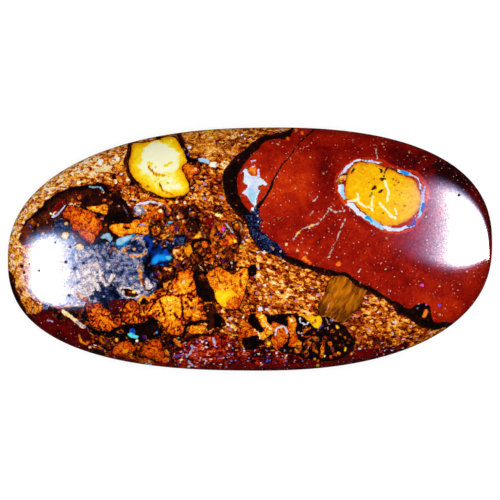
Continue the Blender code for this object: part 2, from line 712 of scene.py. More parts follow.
# Precious opal, whose stacked silica spheres give each patch one pure colour
OPAL_COLOURS = (
    (Hue.VIOLET.value, "#4A1288"),
    (Hue.INDIGO.value, "#4444A4"),
    (Hue.NAVY.value, "#101A60"),
    (Hue.BLUE.value, "#0A50D8"),
    (Hue.SKY.value, "#0E9CFF"),
    (Hue.CYAN.value, "#5ADCE8"),
    (Hue.ICE.value, "#A4CEEC"),
    (Hue.MILK.value, "#DCE4FA"),
    (Hue.BLUSH.value, "#E0BEB0"),
    (Hue.LILAC.value, "#C4B8E4"),
    (Hue.GREEN.value, "#0E7E70"),
    (Hue.LIME.value, "#A8B424"),
    (Hue.PINK.value, "#F044E0"),
)


@dataclass(frozen=True)
class PolishedFace:
    """The stone's face after tin-oxide polish: a clear, wet gloss over every mineral, with a few pits.

    Attributes:
        ripple_length, ripple: How long the ripples in a mineral's border are, and how far they move it, in
            millimetres.
        border: Half the width over which one mineral gives way to the next, in millimetres.
        flake: The size of the brighter and darker flakes in the opal, in millimetres.
        pit_spacing, pit_size: The smallest pits in the polish: how far apart and how wide, in millimetres.
        scratch, relief: The spacing of the last scratches, and how deep they and the pits are, in
            millimetres.
        grain, dullest: The size of the grains that took the polish unevenly, in millimetres, and how much of
            the gloss the dullest ones have.
        haze, haze_level: The roughness that the scratches leave under the gloss, and how much of it shows.
        gloss: The roughness of the gloss itself.
        index: Silica's index of refraction.
    """

    ripple_length: float = 0.22
    ripple: float = 0.05
    border: float = 0.035
    flake: float = 0.45
    pit_spacing: float = 1.6
    pit_size: float = 0.15
    scratch: float = 0.16
    relief: float = 0.02
    grain: float = 0.16
    dullest: float = 0.55
    haze: float = 0.26
    haze_level: float = 0.0
    gloss: float = 0.08
    index: float = 1.5

    def material(self) -> bpy.types.Material:
        """Builds the material, from bare sandstone up through each mineral's layer.

        Returns:
            The material.
        """
        made = bpy.data.materials.new("polished_boulder_opal")
        made.use_nodes = True
        tree = made.node_tree
        shader = tree.nodes["Principled BSDF"]
        metres = {0: add(tree, "ShaderNodeTexCoord").outputs["Object"], "Scale": 1.0 / MM}
        place = add(tree, "ShaderNodeVectorMath", {"operation": "SCALE"}, metres).outputs[0]
        tone = add(tree, "ShaderNodeAttribute", {"attribute_name": "tone"}).outputs["Fac"]
        waves = {"Vector": place, "Scale": 1.0 / self.ripple_length, "Detail": 2.0}
        ripple = add(tree, "ShaderNodeTexNoise", inputs=waves)
        spread = {0: ripple.outputs[0], 1: NOISE_LOW, 2: NOISE_HIGH, 3: -self.ripple, 4: self.ripple}
        wander = add(tree, "ShaderNodeMapRange", {"clamp": False}, spread).outputs[0]
        colour = SANDY_IRONSTONE.colour(tree, place, tone)
        for mineral, finish in FINISHES.items():
            top = finish.colour(tree, place, tone) if finish else self._opal(tree, place)
            colour = self._cover(tree, mineral, wander, colour, top)
        tree.links.new(colour, shader.inputs["Base Color"])
        self._polish(tree, shader, place)
        return made

    def _cover(self, tree: Tree, mineral: Mineral, wander: Socket, under: Socket, over: Socket) -> Socket:
        """Lays one mineral's colour over what is under it, wherever its layer is above zero."""
        layer = add(tree, "ShaderNodeAttribute", {"attribute_name": mineral.value}).outputs["Fac"]
        inside = add(tree, "ShaderNodeMath", inputs={0: layer, 1: wander}).outputs[0]
        ends = {0: inside, 1: -self.border, 2: self.border}
        share = add(tree, "ShaderNodeMapRange", SMOOTH, ends).outputs[0]
        return add(tree, "ShaderNodeMix", {"data_type": "RGBA"}, {0: share, 6: under, 7: over}).outputs[2]

    def _opal(self, tree: Tree, place: Socket) -> Socket:
        """The opal's colour by hue, a little brighter and darker in soft flakes."""
        hue = add(tree, "ShaderNodeAttribute", {"attribute_name": "hue"}).outputs["Fac"]
        tone = add(tree, "ShaderNodeAttribute", {"attribute_name": "tone"}).outputs["Fac"]
        ramp = add(tree, "ShaderNodeValToRGB", inputs={"Fac": hue}, stops=OPAL_COLOURS)
        clouds = {"Vector": place, "Scale": 1.0 / self.flake, "Detail": 3.0}
        flakes = {0: add(tree, "ShaderNodeTexNoise", inputs=clouds).outputs[0], 1: 0.8, 2: 0.62}
        level = add(tree, "ShaderNodeMath", {"operation": "MULTIPLY_ADD"}, flakes).outputs[0]
        value = add(tree, "ShaderNodeMath", inputs={0: level, 1: tone}).outputs[0]
        shown = {"Value": value, "Color": ramp.outputs["Color"]}
        return add(tree, "ShaderNodeHueSaturation", inputs=shown).outputs[0]

    def _polish(self, tree: Tree, shader: bpy.types.Node, place: Socket) -> None:
        """Sets the gloss, and opens the pits, where neither the gloss nor a level surface is left."""
        cells = add(tree, "ShaderNodeTexVoronoi", inputs={"Vector": place, "Scale": 1.0 / self.pit_spacing})
        chance = add(tree, "ShaderNodeSeparateColor", inputs={"Color": cells.outputs["Color"]})
        ends = {0: chance.outputs[1], 1: 0.4, 4: self.pit_size / self.pit_spacing}
        size = add(tree, "ShaderNodeMapRange", inputs=ends)
        pits = {0: cells.outputs["Distance"], 1: size.outputs[0]}
        depth = add(tree, "ShaderNodeMath", {"operation": "SUBTRACT"}, pits).outputs[0]
        level = add(tree, "ShaderNodeMapRange", SMOOTH, {0: depth, 1: -0.03, 2: 0.01}).outputs[0]
        fine = {"Vector": place, "Scale": 1.0 / self.scratch, "Detail": 3.0}
        scratches = add(tree, "ShaderNodeTexNoise", inputs=fine).outputs[0]
        summed = {0: scratches, 1: 0.25, 2: level}
        height = add(tree, "ShaderNodeMath", {"operation": "MULTIPLY_ADD"}, summed).outputs[0]
        relief = {"Height": height, "Strength": 0.35, "Distance": self.relief * MM}
        bump = add(tree, "ShaderNodeBump", inputs=relief)
        ends = {0: scratches, 3: self.haze - 0.05, 4: self.haze + 0.05}
        rough = add(tree, "ShaderNodeMapRange", {"clamp": False}, ends)
        fine = {"Vector": place, "Scale": 1.0 / self.grain, "Detail": 2.0}
        grains = add(tree, "ShaderNodeTexNoise", inputs=fine).outputs[0]
        ends = {0: grains, 1: 0.36, 2: 0.6, 3: self.dullest}
        glossy = add(tree, "ShaderNodeMapRange", inputs=ends).outputs[0]
        pit = add(tree, "ShaderNodeAttribute", {"attribute_name": PIT.value}).outputs["Fac"]
        closed = add(tree, "ShaderNodeMapRange", SMOOTH, {0: pit, 1: 0.0, 2: -0.05}).outputs[0]
        weight = add(tree, "ShaderNodeMath", {"operation": "MULTIPLY"}, {0: glossy, 1: level}).outputs[0]
        weight = add(tree, "ShaderNodeMath", {"operation": "MULTIPLY"}, {0: weight, 1: closed}).outputs[0]
        tree.links.new(weight, shader.inputs["Coat Weight"])
        tree.links.new(bump.outputs[0], shader.inputs["Normal"])
        tree.links.new(rough.outputs[0], shader.inputs["Roughness"])
        shader.inputs["Coat Roughness"].default_value = self.gloss
        shader.inputs["Coat IOR"].default_value = self.index
        shader.inputs["IOR"].default_value = self.index
        shader.inputs["Specular IOR Level"].default_value = self.haze_level


@dataclass(frozen=True)
class LappedBack:
    """The stone's back, ground flat on a coarse lap and left unpolished: dull brown, with round scratches.

    Attributes:
        cloud, grit: The sizes of the rusty clouds and of the grains, in millimetres.
        scratch, relief: The spacing and the depth of the lap's scratches, in millimetres.
        dull: The lowest and highest roughness.
    """

    cloud: float = 3.0
    grit: float = 0.2
    scratch: float = 0.25
    relief: float = 0.03
    dull: tuple[float, float] = (0.55, 0.85)

    def material(self) -> bpy.types.Material:
        """Builds the material.

        Returns:
            The material.
        """
        made = bpy.data.materials.new("lapped_ironstone")
        made.use_nodes = True
        tree = made.node_tree
        shader = tree.nodes["Principled BSDF"]
        metres = {0: add(tree, "ShaderNodeTexCoord").outputs["Object"], "Scale": 1.0 / MM}
        place = add(tree, "ShaderNodeVectorMath", {"operation": "SCALE"}, metres).outputs[0]
        wide = {"Vector": place, "Scale": 1.0 / self.cloud, "Detail": 6.0, "Distortion": 0.3}
        clouds = add(tree, "ShaderNodeTexNoise", inputs=wide).outputs[0]
        fine = {"Vector": place, "Scale": 1.0 / self.grit, "Detail": 4.0}
        grit = add(tree, "ShaderNodeTexNoise", inputs=fine).outputs[0]
        mixed = add(tree, "ShaderNodeMath", {"operation": "MULTIPLY_ADD"}, {0: grit, 1: 0.5, 2: clouds})
        browns = ((0.55, "#2A1208"), (0.7, "#5C2A10"), (0.83, "#8A4A1C"), (0.97, "#B07838"))
        ramp = add(tree, "ShaderNodeValToRGB", inputs={"Fac": mixed.outputs[0]}, stops=browns)
        lapped = {"Vector": place, "Scale": 0.3 / self.scratch, "Distortion": 6.0, "Detail": 3.0}
        round_z = {"wave_type": "RINGS", "rings_direction": "Z"}
        rings = add(tree, "ShaderNodeTexWave", round_z, lapped)
        height = add(tree, "ShaderNodeMath", inputs={0: rings.outputs[1], 1: grit}).outputs[0]
        relief = {"Height": height, "Strength": 0.5, "Distance": self.relief * MM}
        bump = add(tree, "ShaderNodeBump", inputs=relief)
        rough = add(tree, "ShaderNodeMapRange", inputs={0: grit, 3: self.dull[0], 4: self.dull[1]})
        tree.links.new(ramp.outputs["Color"], shader.inputs["Base Color"])
        tree.links.new(bump.outputs[0], shader.inputs["Normal"])
        tree.links.new(rough.outputs[0], shader.inputs["Roughness"])
        return made


class Feature:
    """One feature of the face. It knows the marks that draw it and the soft clouds that shade it."""

    def marks(self) -> Sequence[Patch]:
        """Its patches, strokes and specks, from the lowest up."""
        return ()

    def shades(self) -> Sequence[Shade]:
        """Its soft clouds of light and dark."""
        return ()


@dataclass(frozen=True)
class SandField(Feature):
    """The sandy ironstone that everything else lies in, with its paler and browner stretches."""

    rust_top: Points = (
        (-5.9, 8.9), (-5.2, 8.6), (-3.0, 8.4), (-2.2, 8.5), (-0.4, 9.7), (0.0, 10.2), (1.2, 11.3),
        (-1.0, 11.8), (-4.0, 11.6), (-6.2, 11.2), (-6.3, 10.2), (-6.1, 9.4),
    )
    red_foot: Points = (
        (-7.4, -9.4), (-5.0, -9.6), (-1.4, -8.9), (0.5, -8.8), (3.5, -9.2), (6.0, -9.8), (9.0, -9.6),
        (11.0, -9.2), (13.2, -8.9), (14.6, -8.6), (13.5, -11.0), (5.0, -12.5), (-6.0, -12.5),
    )
    red_rim: Points = ((-8.0, -11.0), (-5.0, -11.2), (3.0, -11.2), (7.0, -10.6), (11.0, -9.7))
    foot_bits: Specks = (
        (-1.2, -9.4, 0.16), (-0.4, -9.8, 0.12), (0.5, -9.6, 0.14), (-1.9, -9.9, 0.12), (1.1, -10.0, 0.1),
        (3.3, -10.1, 0.13), (4.6, -10.2, 0.12), (-2.6, -10.7, 0.12), (0.1, -10.5, 0.1), (10.4, -9.0, 0.15),
        (11.3, -8.7, 0.14), (9.9, -8.9, 0.12), (12.1, -8.5, 0.13),
    )
    dark_hollow: Points = (
        (-9.0, -8.2), (-8.0, -7.7), (-6.8, -8.0), (-5.6, -7.8), (-4.0, -7.8), (-2.8, -7.4), (-3.2, -8.0),
        (-5.0, -8.5), (-6.4, -8.7), (-7.2, -9.4), (-8.2, -9.2),
    )
    # The dark band on the lower-left rim: partly dark ironstone, partly painted shade where the dome turns
    # down
    ironstone_and_shade_rim: Points = (
        (-22.4, -2.6), (-22.0, -4.2), (-21.3, -5.7), (-20.2, -7.1), (-18.6, -8.4), (-16.8, -9.3),
        (-14.0, -9.9),
    )

    def marks(self) -> Sequence[Patch]:
        """The rust clouds at the top, the dark rim at the lower left, partly dark ironstone and partly
        painted shade, and the loose chips.
        """
        chip = ((-14.5, 7.4), (-14.1, 7.7), (-13.5, 7.8), (-12.8, 7.8), (-12.8, 7.5), (-13.9, 7.2))
        return (
            Patch(RUST, self.dark_hollow, -0.5, waver=3.0),
            Patch(BRECCIA, self.red_foot, -0.42, waver=4.0),
            Stroke(JASPER, self.red_rim, -0.42, width=0.9, waver=2.5),
            Stroke(JASPER, ((-15.5, -9.8), (-10.5, -10.8), (-8.0, -11.1)), -0.3, width=0.7),
            Dots(RUST, self.foot_bits, 0.35, waver=3.0),
            Patch(RUST, self.rust_top, 0.4, waver=2.0),
            # Painted shade, with some dark ironstone, along the lower-left rim
            Stroke(IRON, self.ironstone_and_shade_rim, 0.1, width=1.2, waver=2.5),
            Dots(OCHRE, ((-21.2, -0.9, 0.2), (-3.9, 10.9, 0.12), (-2.6, 9.9, 0.1)), 0.3),
            Patch(CHALK, chip, 0.45, edge=0.0),
            Dots(JASPER, ((-14.8, 7.5, 0.18),), -0.2),
            Stroke(OCHRE, ((-12.3, 7.6), (-11.5, 8.4)), 0.3),
            Dots(CHALK, ((-13.9, 8.2, 0.22), (-12.5, 6.2, 0.12), (-11.3, 6.5, 0.12)), 0.9),
            Dots(CHALK, ((-12.3, 8.3, 0.12), (-15.9, 6.2, 0.12), (-15.4, 8.1, 0.1)), 0.8),
            Dots(CHALK, ((-15.3, 7.1, 0.16), (-14.9, 7.0, 0.14), (-15.3, 6.2, 0.11)), 0.3),
            Dots(OPAL, ((-11.9, 5.3, 0.1), (-0.8, 10.6, 0.12), (-0.5, 10.2, 0.1)), hue=Hue.MILK),
        )

    def shades(self) -> Sequence[Shade]:
        """Where the sandstone is golden, cream or burnt. The cream on the left rim beside the left shine is
        partly painted haze.
        """
        places = {
            SAND: (
                (-15.5, 7.4, 5.0, 1.4, 0.78, 26), (-20.5, 3.6, 1.0, 3.2, 0.6, -38),
                # (-20.9, -2.4) lightens the sand beside the left shine: partly its own cream, partly painted
                # haze of the shine
                (-21.9, 0.0, 0.9, 2.2, 0.5), (-20.9, -2.4, 0.9, 2.6, 0.52), (-12.3, 6.2, 1.2, 1.0, -0.14),
                (-4.0, 6.4, 1.5, 1.5, -0.26), (-4.2, 4.6, 1.8, 0.7, 0.36), (3.5, -3.5, 4.2, 1.6, 0.24, -25),
                (12.2, -6.3, 3.4, 1.6, 0.14, -28), (-10.0, -9.0, 6.0, 1.4, -0.42, -12),
                (3.0, -11.0, 8.0, 1.0, -0.55), (11.2, -9.6, 2.6, 1.1, -0.45, 25),
            ),
            BRECCIA: (
                (-1.6, -9.4, 1.0, 0.6, 0.12), (1.6, -10.6, 2.0, 0.4, 0.16), (7.0, -10.4, 3.0, 0.6, -0.25),
            ),
            RUST: ((-3.0, 11.0, 3.2, 0.9, 0.24), (-4.4, 9.6, 1.6, 0.8, 0.2)),
        }
        return tuple(Shade(only, *place) for only, rows in places.items() for place in rows)


@dataclass(frozen=True)
class YellowKernel(Feature):
    """The yellow jasper kernel near the top, with its cream heart and its cracked lower lobe."""

    outline: Points = (
        (-10.9, 9.6), (-10.4, 9.9), (-8.6, 10.0), (-8.0, 10.4), (-6.9, 10.4), (-6.4, 9.5), (-5.8, 8.2),
        (-6.3, 7.6), (-6.0, 6.6), (-5.8, 6.2), (-5.7, 5.8), (-5.8, 5.3), (-6.0, 5.1), (-6.5, 5.0),
        (-8.1, 4.8), (-9.8, 5.7), (-10.1, 6.1), (-10.5, 6.4), (-11.1, 7.2), (-11.2, 8.2), (-11.0, 9.2),
    )
    heart: Points = (
        (-9.9, 9.5), (-8.7, 9.9), (-8.0, 9.8), (-6.8, 9.1), (-6.5, 8.0), (-6.7, 7.4), (-7.1, 7.1),
        (-8.3, 7.0), (-8.5, 6.6), (-8.9, 6.7), (-9.2, 6.7), (-9.7, 6.9), (-10.3, 7.4), (-10.2, 8.0),
        (-10.0, 9.1),
    )
    crack: float = 0.13

    def marks(self) -> Sequence[Patch]:
        """The kernel, its heart, its cracks and the dark contour round it."""
        contour = ((-11.0, 9.8), (-11.3, 9.2), (-11.5, 7.7), (-10.9, 6.5), (-10.4, 6.1))
        patch = (
            (-5.8, 7.9), (-4.9, 7.5), (-4.6, 7.3), (-4.8, 7.0), (-5.3, 6.9), (-5.5, 6.5), (-5.8, 6.5),
            (-6.2, 7.4),
        )
        under = ((-9.5, 5.1), (-8.6, 4.7), (-6.6, 4.7), (-5.9, 4.9))
        return (
            Patch(LIMONITE, patch, 0.2, edge=-0.3, rim=0.1),
            Dots(CHALK, ((-5.0, 7.3, 0.15),), -0.1),
            Stroke(IRON, contour, 0.3, width=0.4, waver=1.5),
            Stroke(IRON, ((-6.5, 10.6), (-6.1, 9.5)), 0.1, width=0.4),
            Patch(OCHRE, self.outline, 0.82, edge=-0.02, depth=0.4, rim=0.12),
            Dots(IRON, ((-8.5, 10.3, 0.25), (-11.0, 6.1, 0.22), (-5.3, 6.4, 0.14), (-5.3, 5.5, 0.14))),
            Patch(OCHRE, self.heart, 1.16, edge=0.7, depth=0.22, waver=1.6),
            Dots(OCHRE, ((-9.3, 7.9, 0.2),), 0.62),
            Stroke(OCHRE, ((-7.9, 7.8), (-7.3, 8.1)), 0.5, width=0.15),
            Stroke(CHALK, ((-9.4, 7.6), (-8.7, 6.8)), -0.5, width=0.09),
            Stroke(OCHRE, ((-8.8, 7.0), (-8.0, 6.9)), 0.0, width=0.15),
            Stroke(RUST, ((-8.4, 6.1), (-8.1, 5.4)), -0.1, width=self.crack),
            Stroke(RUST, ((-7.9, 5.4), (-7.3, 5.1)), -0.1, width=self.crack),
            Stroke(IRON, under, width=0.2, waver=1.5),
            Dots(BRECCIA, ((-8.0, 4.6, 0.12), (-6.8, 4.5, 0.12)), 0.4),
            Dots(OCHRE, ((-7.4, 4.3, 0.17),), 0.4),
            Dots(CHALK, ((-6.0, 4.4, 0.14),), 0.4),
        )

    def shades(self) -> Sequence[Shade]:
        """The kernel's upper left is more orange, its lower lobe the brightest yellow."""
        places = ((-10.7, 8.6, 0.7, 1.4, -0.16), (-7.6, 5.8, 1.6, 0.7, 0.18))
        return tuple(Shade(OCHRE, *place) for place in places)


@dataclass(frozen=True)
class OpalBar(Feature):
    """The row of ice-blue and white opal bits between the kernel and the red nodule."""

    thickness: float = 0.36

    def marks(self) -> Sequence[Patch]:
        """The black stroke and the bits after it."""
        black = ((-5.9, 9.0, 0.5), (-5.6, 8.3, 0.45), (-5.0, 8.2, 0.35), (-4.5, 8.0, 0.25), (-4.2, 7.8, 0.15))
        return (
            Stroke(IRON, black, -0.2),
            Stroke(OPAL, ((-4.6, 8.2), (-3.9, 8.1)), hue=Hue.ICE, width=self.thickness),
            Dots(RUST, ((-3.7, 7.9, 0.13),), 0.3),
            Stroke(CHALK, ((-3.5, 7.8), (-3.1, 7.8)), 0.9, width=self.thickness * 1.2),
            Dots(OPAL, ((-3.0, 7.8, 0.13),), hue=Hue.LILAC),
            Dots(IRON, ((-2.7, 8.0, 0.12),)),
            Dots(CHALK, ((-2.5, 7.9, 0.16), (-2.2, 7.6, 0.13)), 0.2),
            Dots(OPAL, ((-5.7, 8.8, 0.12),), hue=Hue.INDIGO),
            Dots(OPAL, ((-5.6, 9.4, 0.17),), hue=Hue.MILK),
        )


@dataclass(frozen=True)
class LeftNodule(Feature):
    """The dark nodule on the left shoulder, with the orange cracked patch and the hook inside it."""

    base: Points = (
        (-21.3, 0.6), (-21.2, 1.6), (-20.9, 2.6), (-19.6, 3.7), (-18.3, 4.9), (-16.6, 5.8), (-14.6, 6.0),
        (-14.0, 6.2), (-13.4, 6.0), (-13.1, 5.5), (-12.4, 5.1), (-11.3, 4.2), (-10.9, 3.2), (-9.8, 2.7),
        (-9.3, 1.8), (-9.4, 0.9), (-10.2, 1.3), (-11.5, 1.0), (-13.0, 0.8), (-15.0, 0.2), (-17.0, 0.6),
        (-18.8, 0.7), (-20.0, 0.6),
    )
    shadow: Points = (
        (-15.3, 3.4), (-15.6, 4.5), (-14.6, 5.3), (-13.4, 5.5), (-12.4, 4.9), (-11.4, 4.0), (-11.3, 3.2),
        (-12.4, 2.6), (-13.6, 2.7),
    )
    silt: Points = (
        (-20.3, 0.5), (-20.0, 2.2), (-19.4, 2.9), (-17.9, 3.0), (-17.4, 2.6), (-16.9, 1.9), (-16.0, 1.4),
        (-15.2, 0.4), (-16.6, 0.0), (-18.4, 0.0),
    )
    cracked: Points = (
        (-17.3, 3.1), (-17.1, 3.7), (-16.7, 4.0), (-16.1, 3.9), (-14.4, 3.2), (-13.7, 2.2), (-13.8, 1.8),
        (-14.4, 1.0), (-14.7, 0.4), (-15.0, 0.7), (-15.5, 0.9), (-15.8, 1.4), (-15.9, 1.7), (-16.5, 1.8),
        (-16.8, 2.6), (-17.2, 2.9),
    )
    hook: Points = (
        (-15.0, 3.9), (-14.4, 4.0), (-13.4, 4.1), (-13.2, 3.7), (-13.3, 3.3), (-13.7, 3.3), (-13.9, 3.4),
        (-14.8, 3.6),
    )
    ring: Points = (
        (-13.0, 2.1), (-12.5, 2.3), (-11.0, 2.3), (-10.8, 2.6), (-9.9, 2.7), (-9.5, 2.3), (-9.5, 1.8),
        (-9.5, 1.3), (-9.7, 1.2), (-10.2, 1.4), (-11.3, 1.4), (-11.8, 1.1), (-12.7, 1.5),
    )

    def marks(self) -> Sequence[Patch]:
        """The dark base and everything set in it."""
        return (
            Patch(IRON, self.base, 0.34, edge=-0.5, depth=0.35, waver=1.5),
            Patch(IRON, self.shadow, 0.05, waver=4.0),
            Patch(IRON, self.silt, 0.28, waver=3.0),
            Dots(POTCH, ((-17.7, 2.3, 0.45), (-17.3, 1.9, 0.4), (-18.2, 1.7, 0.4)), -0.55, waver=3.0),
            Dots(POTCH, ((-18.3, 0.9, 0.7), (-19.4, 0.9, 0.5), (-16.6, 0.8, 0.7)), 0.1, waver=3.5),
            Stroke(IRON, ((-20.9, 0.7), (-20.8, 1.6), (-20.3, 2.4)), 0.5, width=0.7),
            Dots(OPAL, ((-20.4, 2.1, 0.13),), hue=Hue.INDIGO),
            Dots(OPAL, ((-19.8, 1.3, 0.16),), hue=Hue.BLUE),
            Stroke(IRON, ((-19.9, 2.0), (-20.1, 1.4)), -0.5),
            Dots(CHALK, ((-19.3, 1.4, 0.15),), -0.2),
            Stroke(OPAL, ((-18.4, 3.0), (-17.9, 3.2), (-17.1, 4.1)), hue=Hue.LILAC, width=0.13),
            Stroke(JASPER, ((-18.2, 3.6), (-17.4, 4.4)), -0.35, width=0.5),
            Dots(CHALK, ((-18.6, 3.3, 0.11), (-18.3, 3.2, 0.12), (-18.1, 3.4, 0.08)), 0.7),
            Dots(CHALK, ((-17.1, 2.3, 0.17), (-17.1, 1.3, 0.3), (-15.8, 0.1, 0.32)), 0.4, edge=-0.3),
            Patch(LIMONITE, self.cracked, -0.13, edge=-0.35, rim=0.1),
            Stroke(LIMONITE, ((-16.6, 4.2), (-16.1, 4.3), (-15.7, 4.3)), -0.2, width=0.18),
            Dots(LIMONITE, ((-15.8, 4.8, 0.22),), -0.25),
            Stroke(CHALK, ((-16.8, 4.1), (-16.3, 4.1), (-15.8, 4.0)), 0.2, width=0.1),
            Patch(LIMONITE, self.hook, 0.5, edge=0.1),
            Stroke(IRON, ((-13.8, 3.8), (-13.6, 3.7)), width=0.13),
            Dots(LIMONITE, ((-13.6, 4.5, 0.15), (-12.9, 4.3, 0.14)), 0.0),
            Dots(BRECCIA, ((-13.7, 2.9, 0.18), (-13.7, 5.4, 0.14)), 0.55),
            Dots(CHALK, ((-12.2, 4.0, 0.08),), 0.7),
            Stroke(OPAL, ((-15.0, 5.8), (-14.0, 5.8), (-13.7, 5.5)), -0.35, width=0.12),
            Stroke(POTCH, ((-11.8, 4.0), (-11.6, 3.6), (-11.4, 3.1)), 0.4, width=0.1),
            Patch(LIMONITE, self.ring, 0.5, edge=0.05, rim=0.12),
            Stroke(IRON, ((-11.8, 2.0), (-11.2, 1.9)), width=0.22),
            Stroke(OPAL, ((-10.2, 2.2), (-9.8, 2.1)), hue=Hue.SKY),
            Dots(IRON, ((-10.3, 2.2, 0.09),)),
        )

    def shades(self) -> Sequence[Shade]:
        """The base is maroon on the shoulder and almost black further in."""
        places = {
            IRON: (
                (-17.5, 4.6, 2.4, 1.0, 0.14, 30), (-13.0, 4.6, 2.0, 0.8, 0.08), (-12.4, 2.9, 1.6, 0.5, -0.3),
            ),
            LIMONITE: ((-14.9, 2.6, 0.7, 0.7, 0.2),),
        }
        return tuple(Shade(only, *place) for only, rows in places.items() for place in rows)


@dataclass(frozen=True)
class GreyArc(Feature):
    """The arcs of orange, lavender and grey under the kernel, with a red knot at their right."""

    outer: Points = (
        (-10.7, 3.9), (-10.2, 4.4), (-9.5, 4.7), (-8.8, 4.6), (-8.1, 4.3), (-7.7, 3.9), (-7.5, 3.5),
    )
    inner: Points = ((-10.6, 4.0), (-10.2, 4.2), (-9.0, 4.3), (-8.4, 4.1))
    grey: Points = ((-10.8, 3.9), (-10.2, 4.0), (-9.9, 3.7), (-9.9, 3.3), (-10.5, 3.1))

    def marks(self) -> Sequence[Patch]:
        """The arcs from the outside in, then the knot."""
        arm = ((-8.8, 3.5), (-10.1, 2.5))
        return (
            Stroke(LIMONITE, self.outer, -0.05, width=0.26),
            Stroke(OPAL, self.inner, -0.1, hue=Hue.MILK, width=0.2),
            Patch(POTCH, self.grey, 0.72, edge=0.2, depth=0.15, rim=0.06),
            Dots(RUST, ((-10.7, 3.2, 0.14),), 0.4),
            Dots(LIMONITE, ((-9.3, 3.8, 0.18),), 0.1),
            Stroke(LIMONITE, arm, -0.3, width=0.32),
            Dots(LIMONITE, ((-8.5, 3.2, 0.46),), -0.3),
            Dots(IRON, ((-8.7, 3.2, 0.12),)),
            Dots(CHALK, ((-8.3, 3.5, 0.13),), 0.7),
        )


@dataclass(frozen=True)
class SlateField(Feature):
    """The lavender-grey common opal left of the middle, and its tan and navy pieces."""

    field_outline: Points = (
        (-17.0, 0.6), (-15.9, 0.5), (-15.0, 0.2), (-14.2, 0.8), (-13.0, 0.9), (-10.2, 1.2), (-9.4, 0.9),
        (-9.2, -0.3), (-9.4, -1.6), (-9.0, -2.6), (-8.7, -3.6), (-9.4, -4.3), (-10.4, -4.9), (-11.5, -5.0),
        (-12.4, -5.4), (-13.4, -5.4), (-14.6, -5.2), (-16.0, -5.4), (-17.2, -5.0), (-17.6, -3.4),
        (-17.4, -1.2),
    )
    tan_zone: Points = (
        (-17.6, -2.0), (-16.4, -2.2), (-15.2, -2.0), (-14.3, -2.9), (-14.2, -4.2), (-14.8, -5.3),
        (-16.2, -5.6), (-17.6, -5.4), (-19.2, -5.2), (-20.2, -4.0), (-20.0, -2.6), (-18.8, -2.2),
    )
    navy: Points = (
        (-14.4, -3.3), (-13.8, -3.1), (-13.0, -3.2), (-12.5, -3.6), (-12.3, -4.4), (-12.7, -5.0),
        (-13.4, -5.3), (-14.0, -5.0), (-14.5, -4.3),
    )
    ring: Points = ((-12.2, -3.8), (-11.6, -4.4), (-10.8, -4.6), (-10.4, -4.3), (-10.8, -3.7), (-11.5, -3.6))
    maroon: Points = (
        (-13.2, -4.9), (-12.5, -4.6), (-11.3, -4.9), (-11.7, -5.5), (-12.1, -6.1), (-12.7, -6.2),
        (-13.1, -5.6),
    )

    def marks(self) -> Sequence[Patch]:
        """The grey field, then its pieces."""
        crescent = ((-14.0, -2.3), (-13.9, -2.7), (-13.5, -3.1), (-13.0, -2.9), (-12.9, -2.6))
        band = ((-10.2, -2.2), (-10.2, -2.8), (-9.8, -3.8))
        return (
            Patch(POTCH, self.field_outline, 0.08, waver=2.0),
            Patch(POTCH, self.tan_zone, 0.5, waver=3.5),
            Patch(POTCH, self.navy, -0.62, edge=-0.75, waver=1.5),
            Stroke(POTCH, ((-13.8, -4.8), (-13.4, -5.2), (-12.9, -5.4)), -1.0, width=0.5),
            Dots(OPAL, ((-13.6, -4.4, 0.1),), hue=Hue.ICE),
            Stroke(POTCH, ((-14.6, -3.1), (-14.0, -3.8)), 0.62, width=0.32),
            Dots(IRON, ((-14.7, -4.5, 0.2),), -0.2),
            Stroke(POTCH, crescent, 0.66, width=0.4, rim=0.06, waver=2.5),
            Stroke(CHALK, ((-13.0, -0.4), (-12.7, 0.1), (-12.4, -0.2)), -0.45),
            Stroke(POTCH, ((-13.2, -1.5), (-13.3, -2.0)), 0.66, width=0.3, waver=2.0),
            Dots(CHALK, ((-10.2, -1.4, 0.15), (-10.3, -2.0, 0.28)), -0.4),
            Stroke(RUST, band, 0.45, width=0.3, waver=2.0),
            Dots(POTCH, ((-9.6, -3.0, 0.34), (-9.5, -3.4, 0.38)), 0.8, edge=0.45, rim=0.12),
            Stroke(RUST, ((-9.9, -2.7), (-9.8, -3.6)), 0.0, width=0.13),
            Patch(JASPER, self.maroon, -0.62, waver=2.5),
            Patch(IRON, self.ring, 0.1),
            Stroke(POTCH, (*self.ring, self.ring[0]), 0.72, width=0.13, waver=2.0),
            Dots(POTCH, ((-11.8, -4.0, 0.16),), 0.75),
            Dots(OCHRE, ((-10.8, -4.0, 0.14),), 0.7),
            Stroke(RUST, ((-15.7, -4.3), (-15.0, -4.9)), 0.5, width=0.4, waver=2.5),
            Stroke(POTCH, ((-16.0, -2.5), (-15.8, -2.9)), 0.66, width=0.4, waver=2.5),
        )

    def shades(self) -> Sequence[Shade]:
        """Lighter lavender to the left, darker to the right. The light spot by the left shine is partly
        painted haze.
        """
        places = (
            (-13.4, 0.2, 1.3, 0.8, -0.32), (-12.9, -1.4, 0.6, 1.0, -0.28), (-14.8, -1.4, 0.9, 0.7, 0.22),
            # (-16.0, -0.8) lightens the potch by the left shine: partly its own pale blue, partly painted
            # haze of the shine
            (-16.0, -0.8, 0.9, 1.2, 0.1), (-11.3, -2.2, 1.3, 1.2, -0.22), (-9.9, -1.6, 0.8, 1.2, -0.3),
            (-12.0, -4.6, 1.6, 0.6, -0.3),
        )
        return tuple(Shade(POTCH, *place) for place in places)


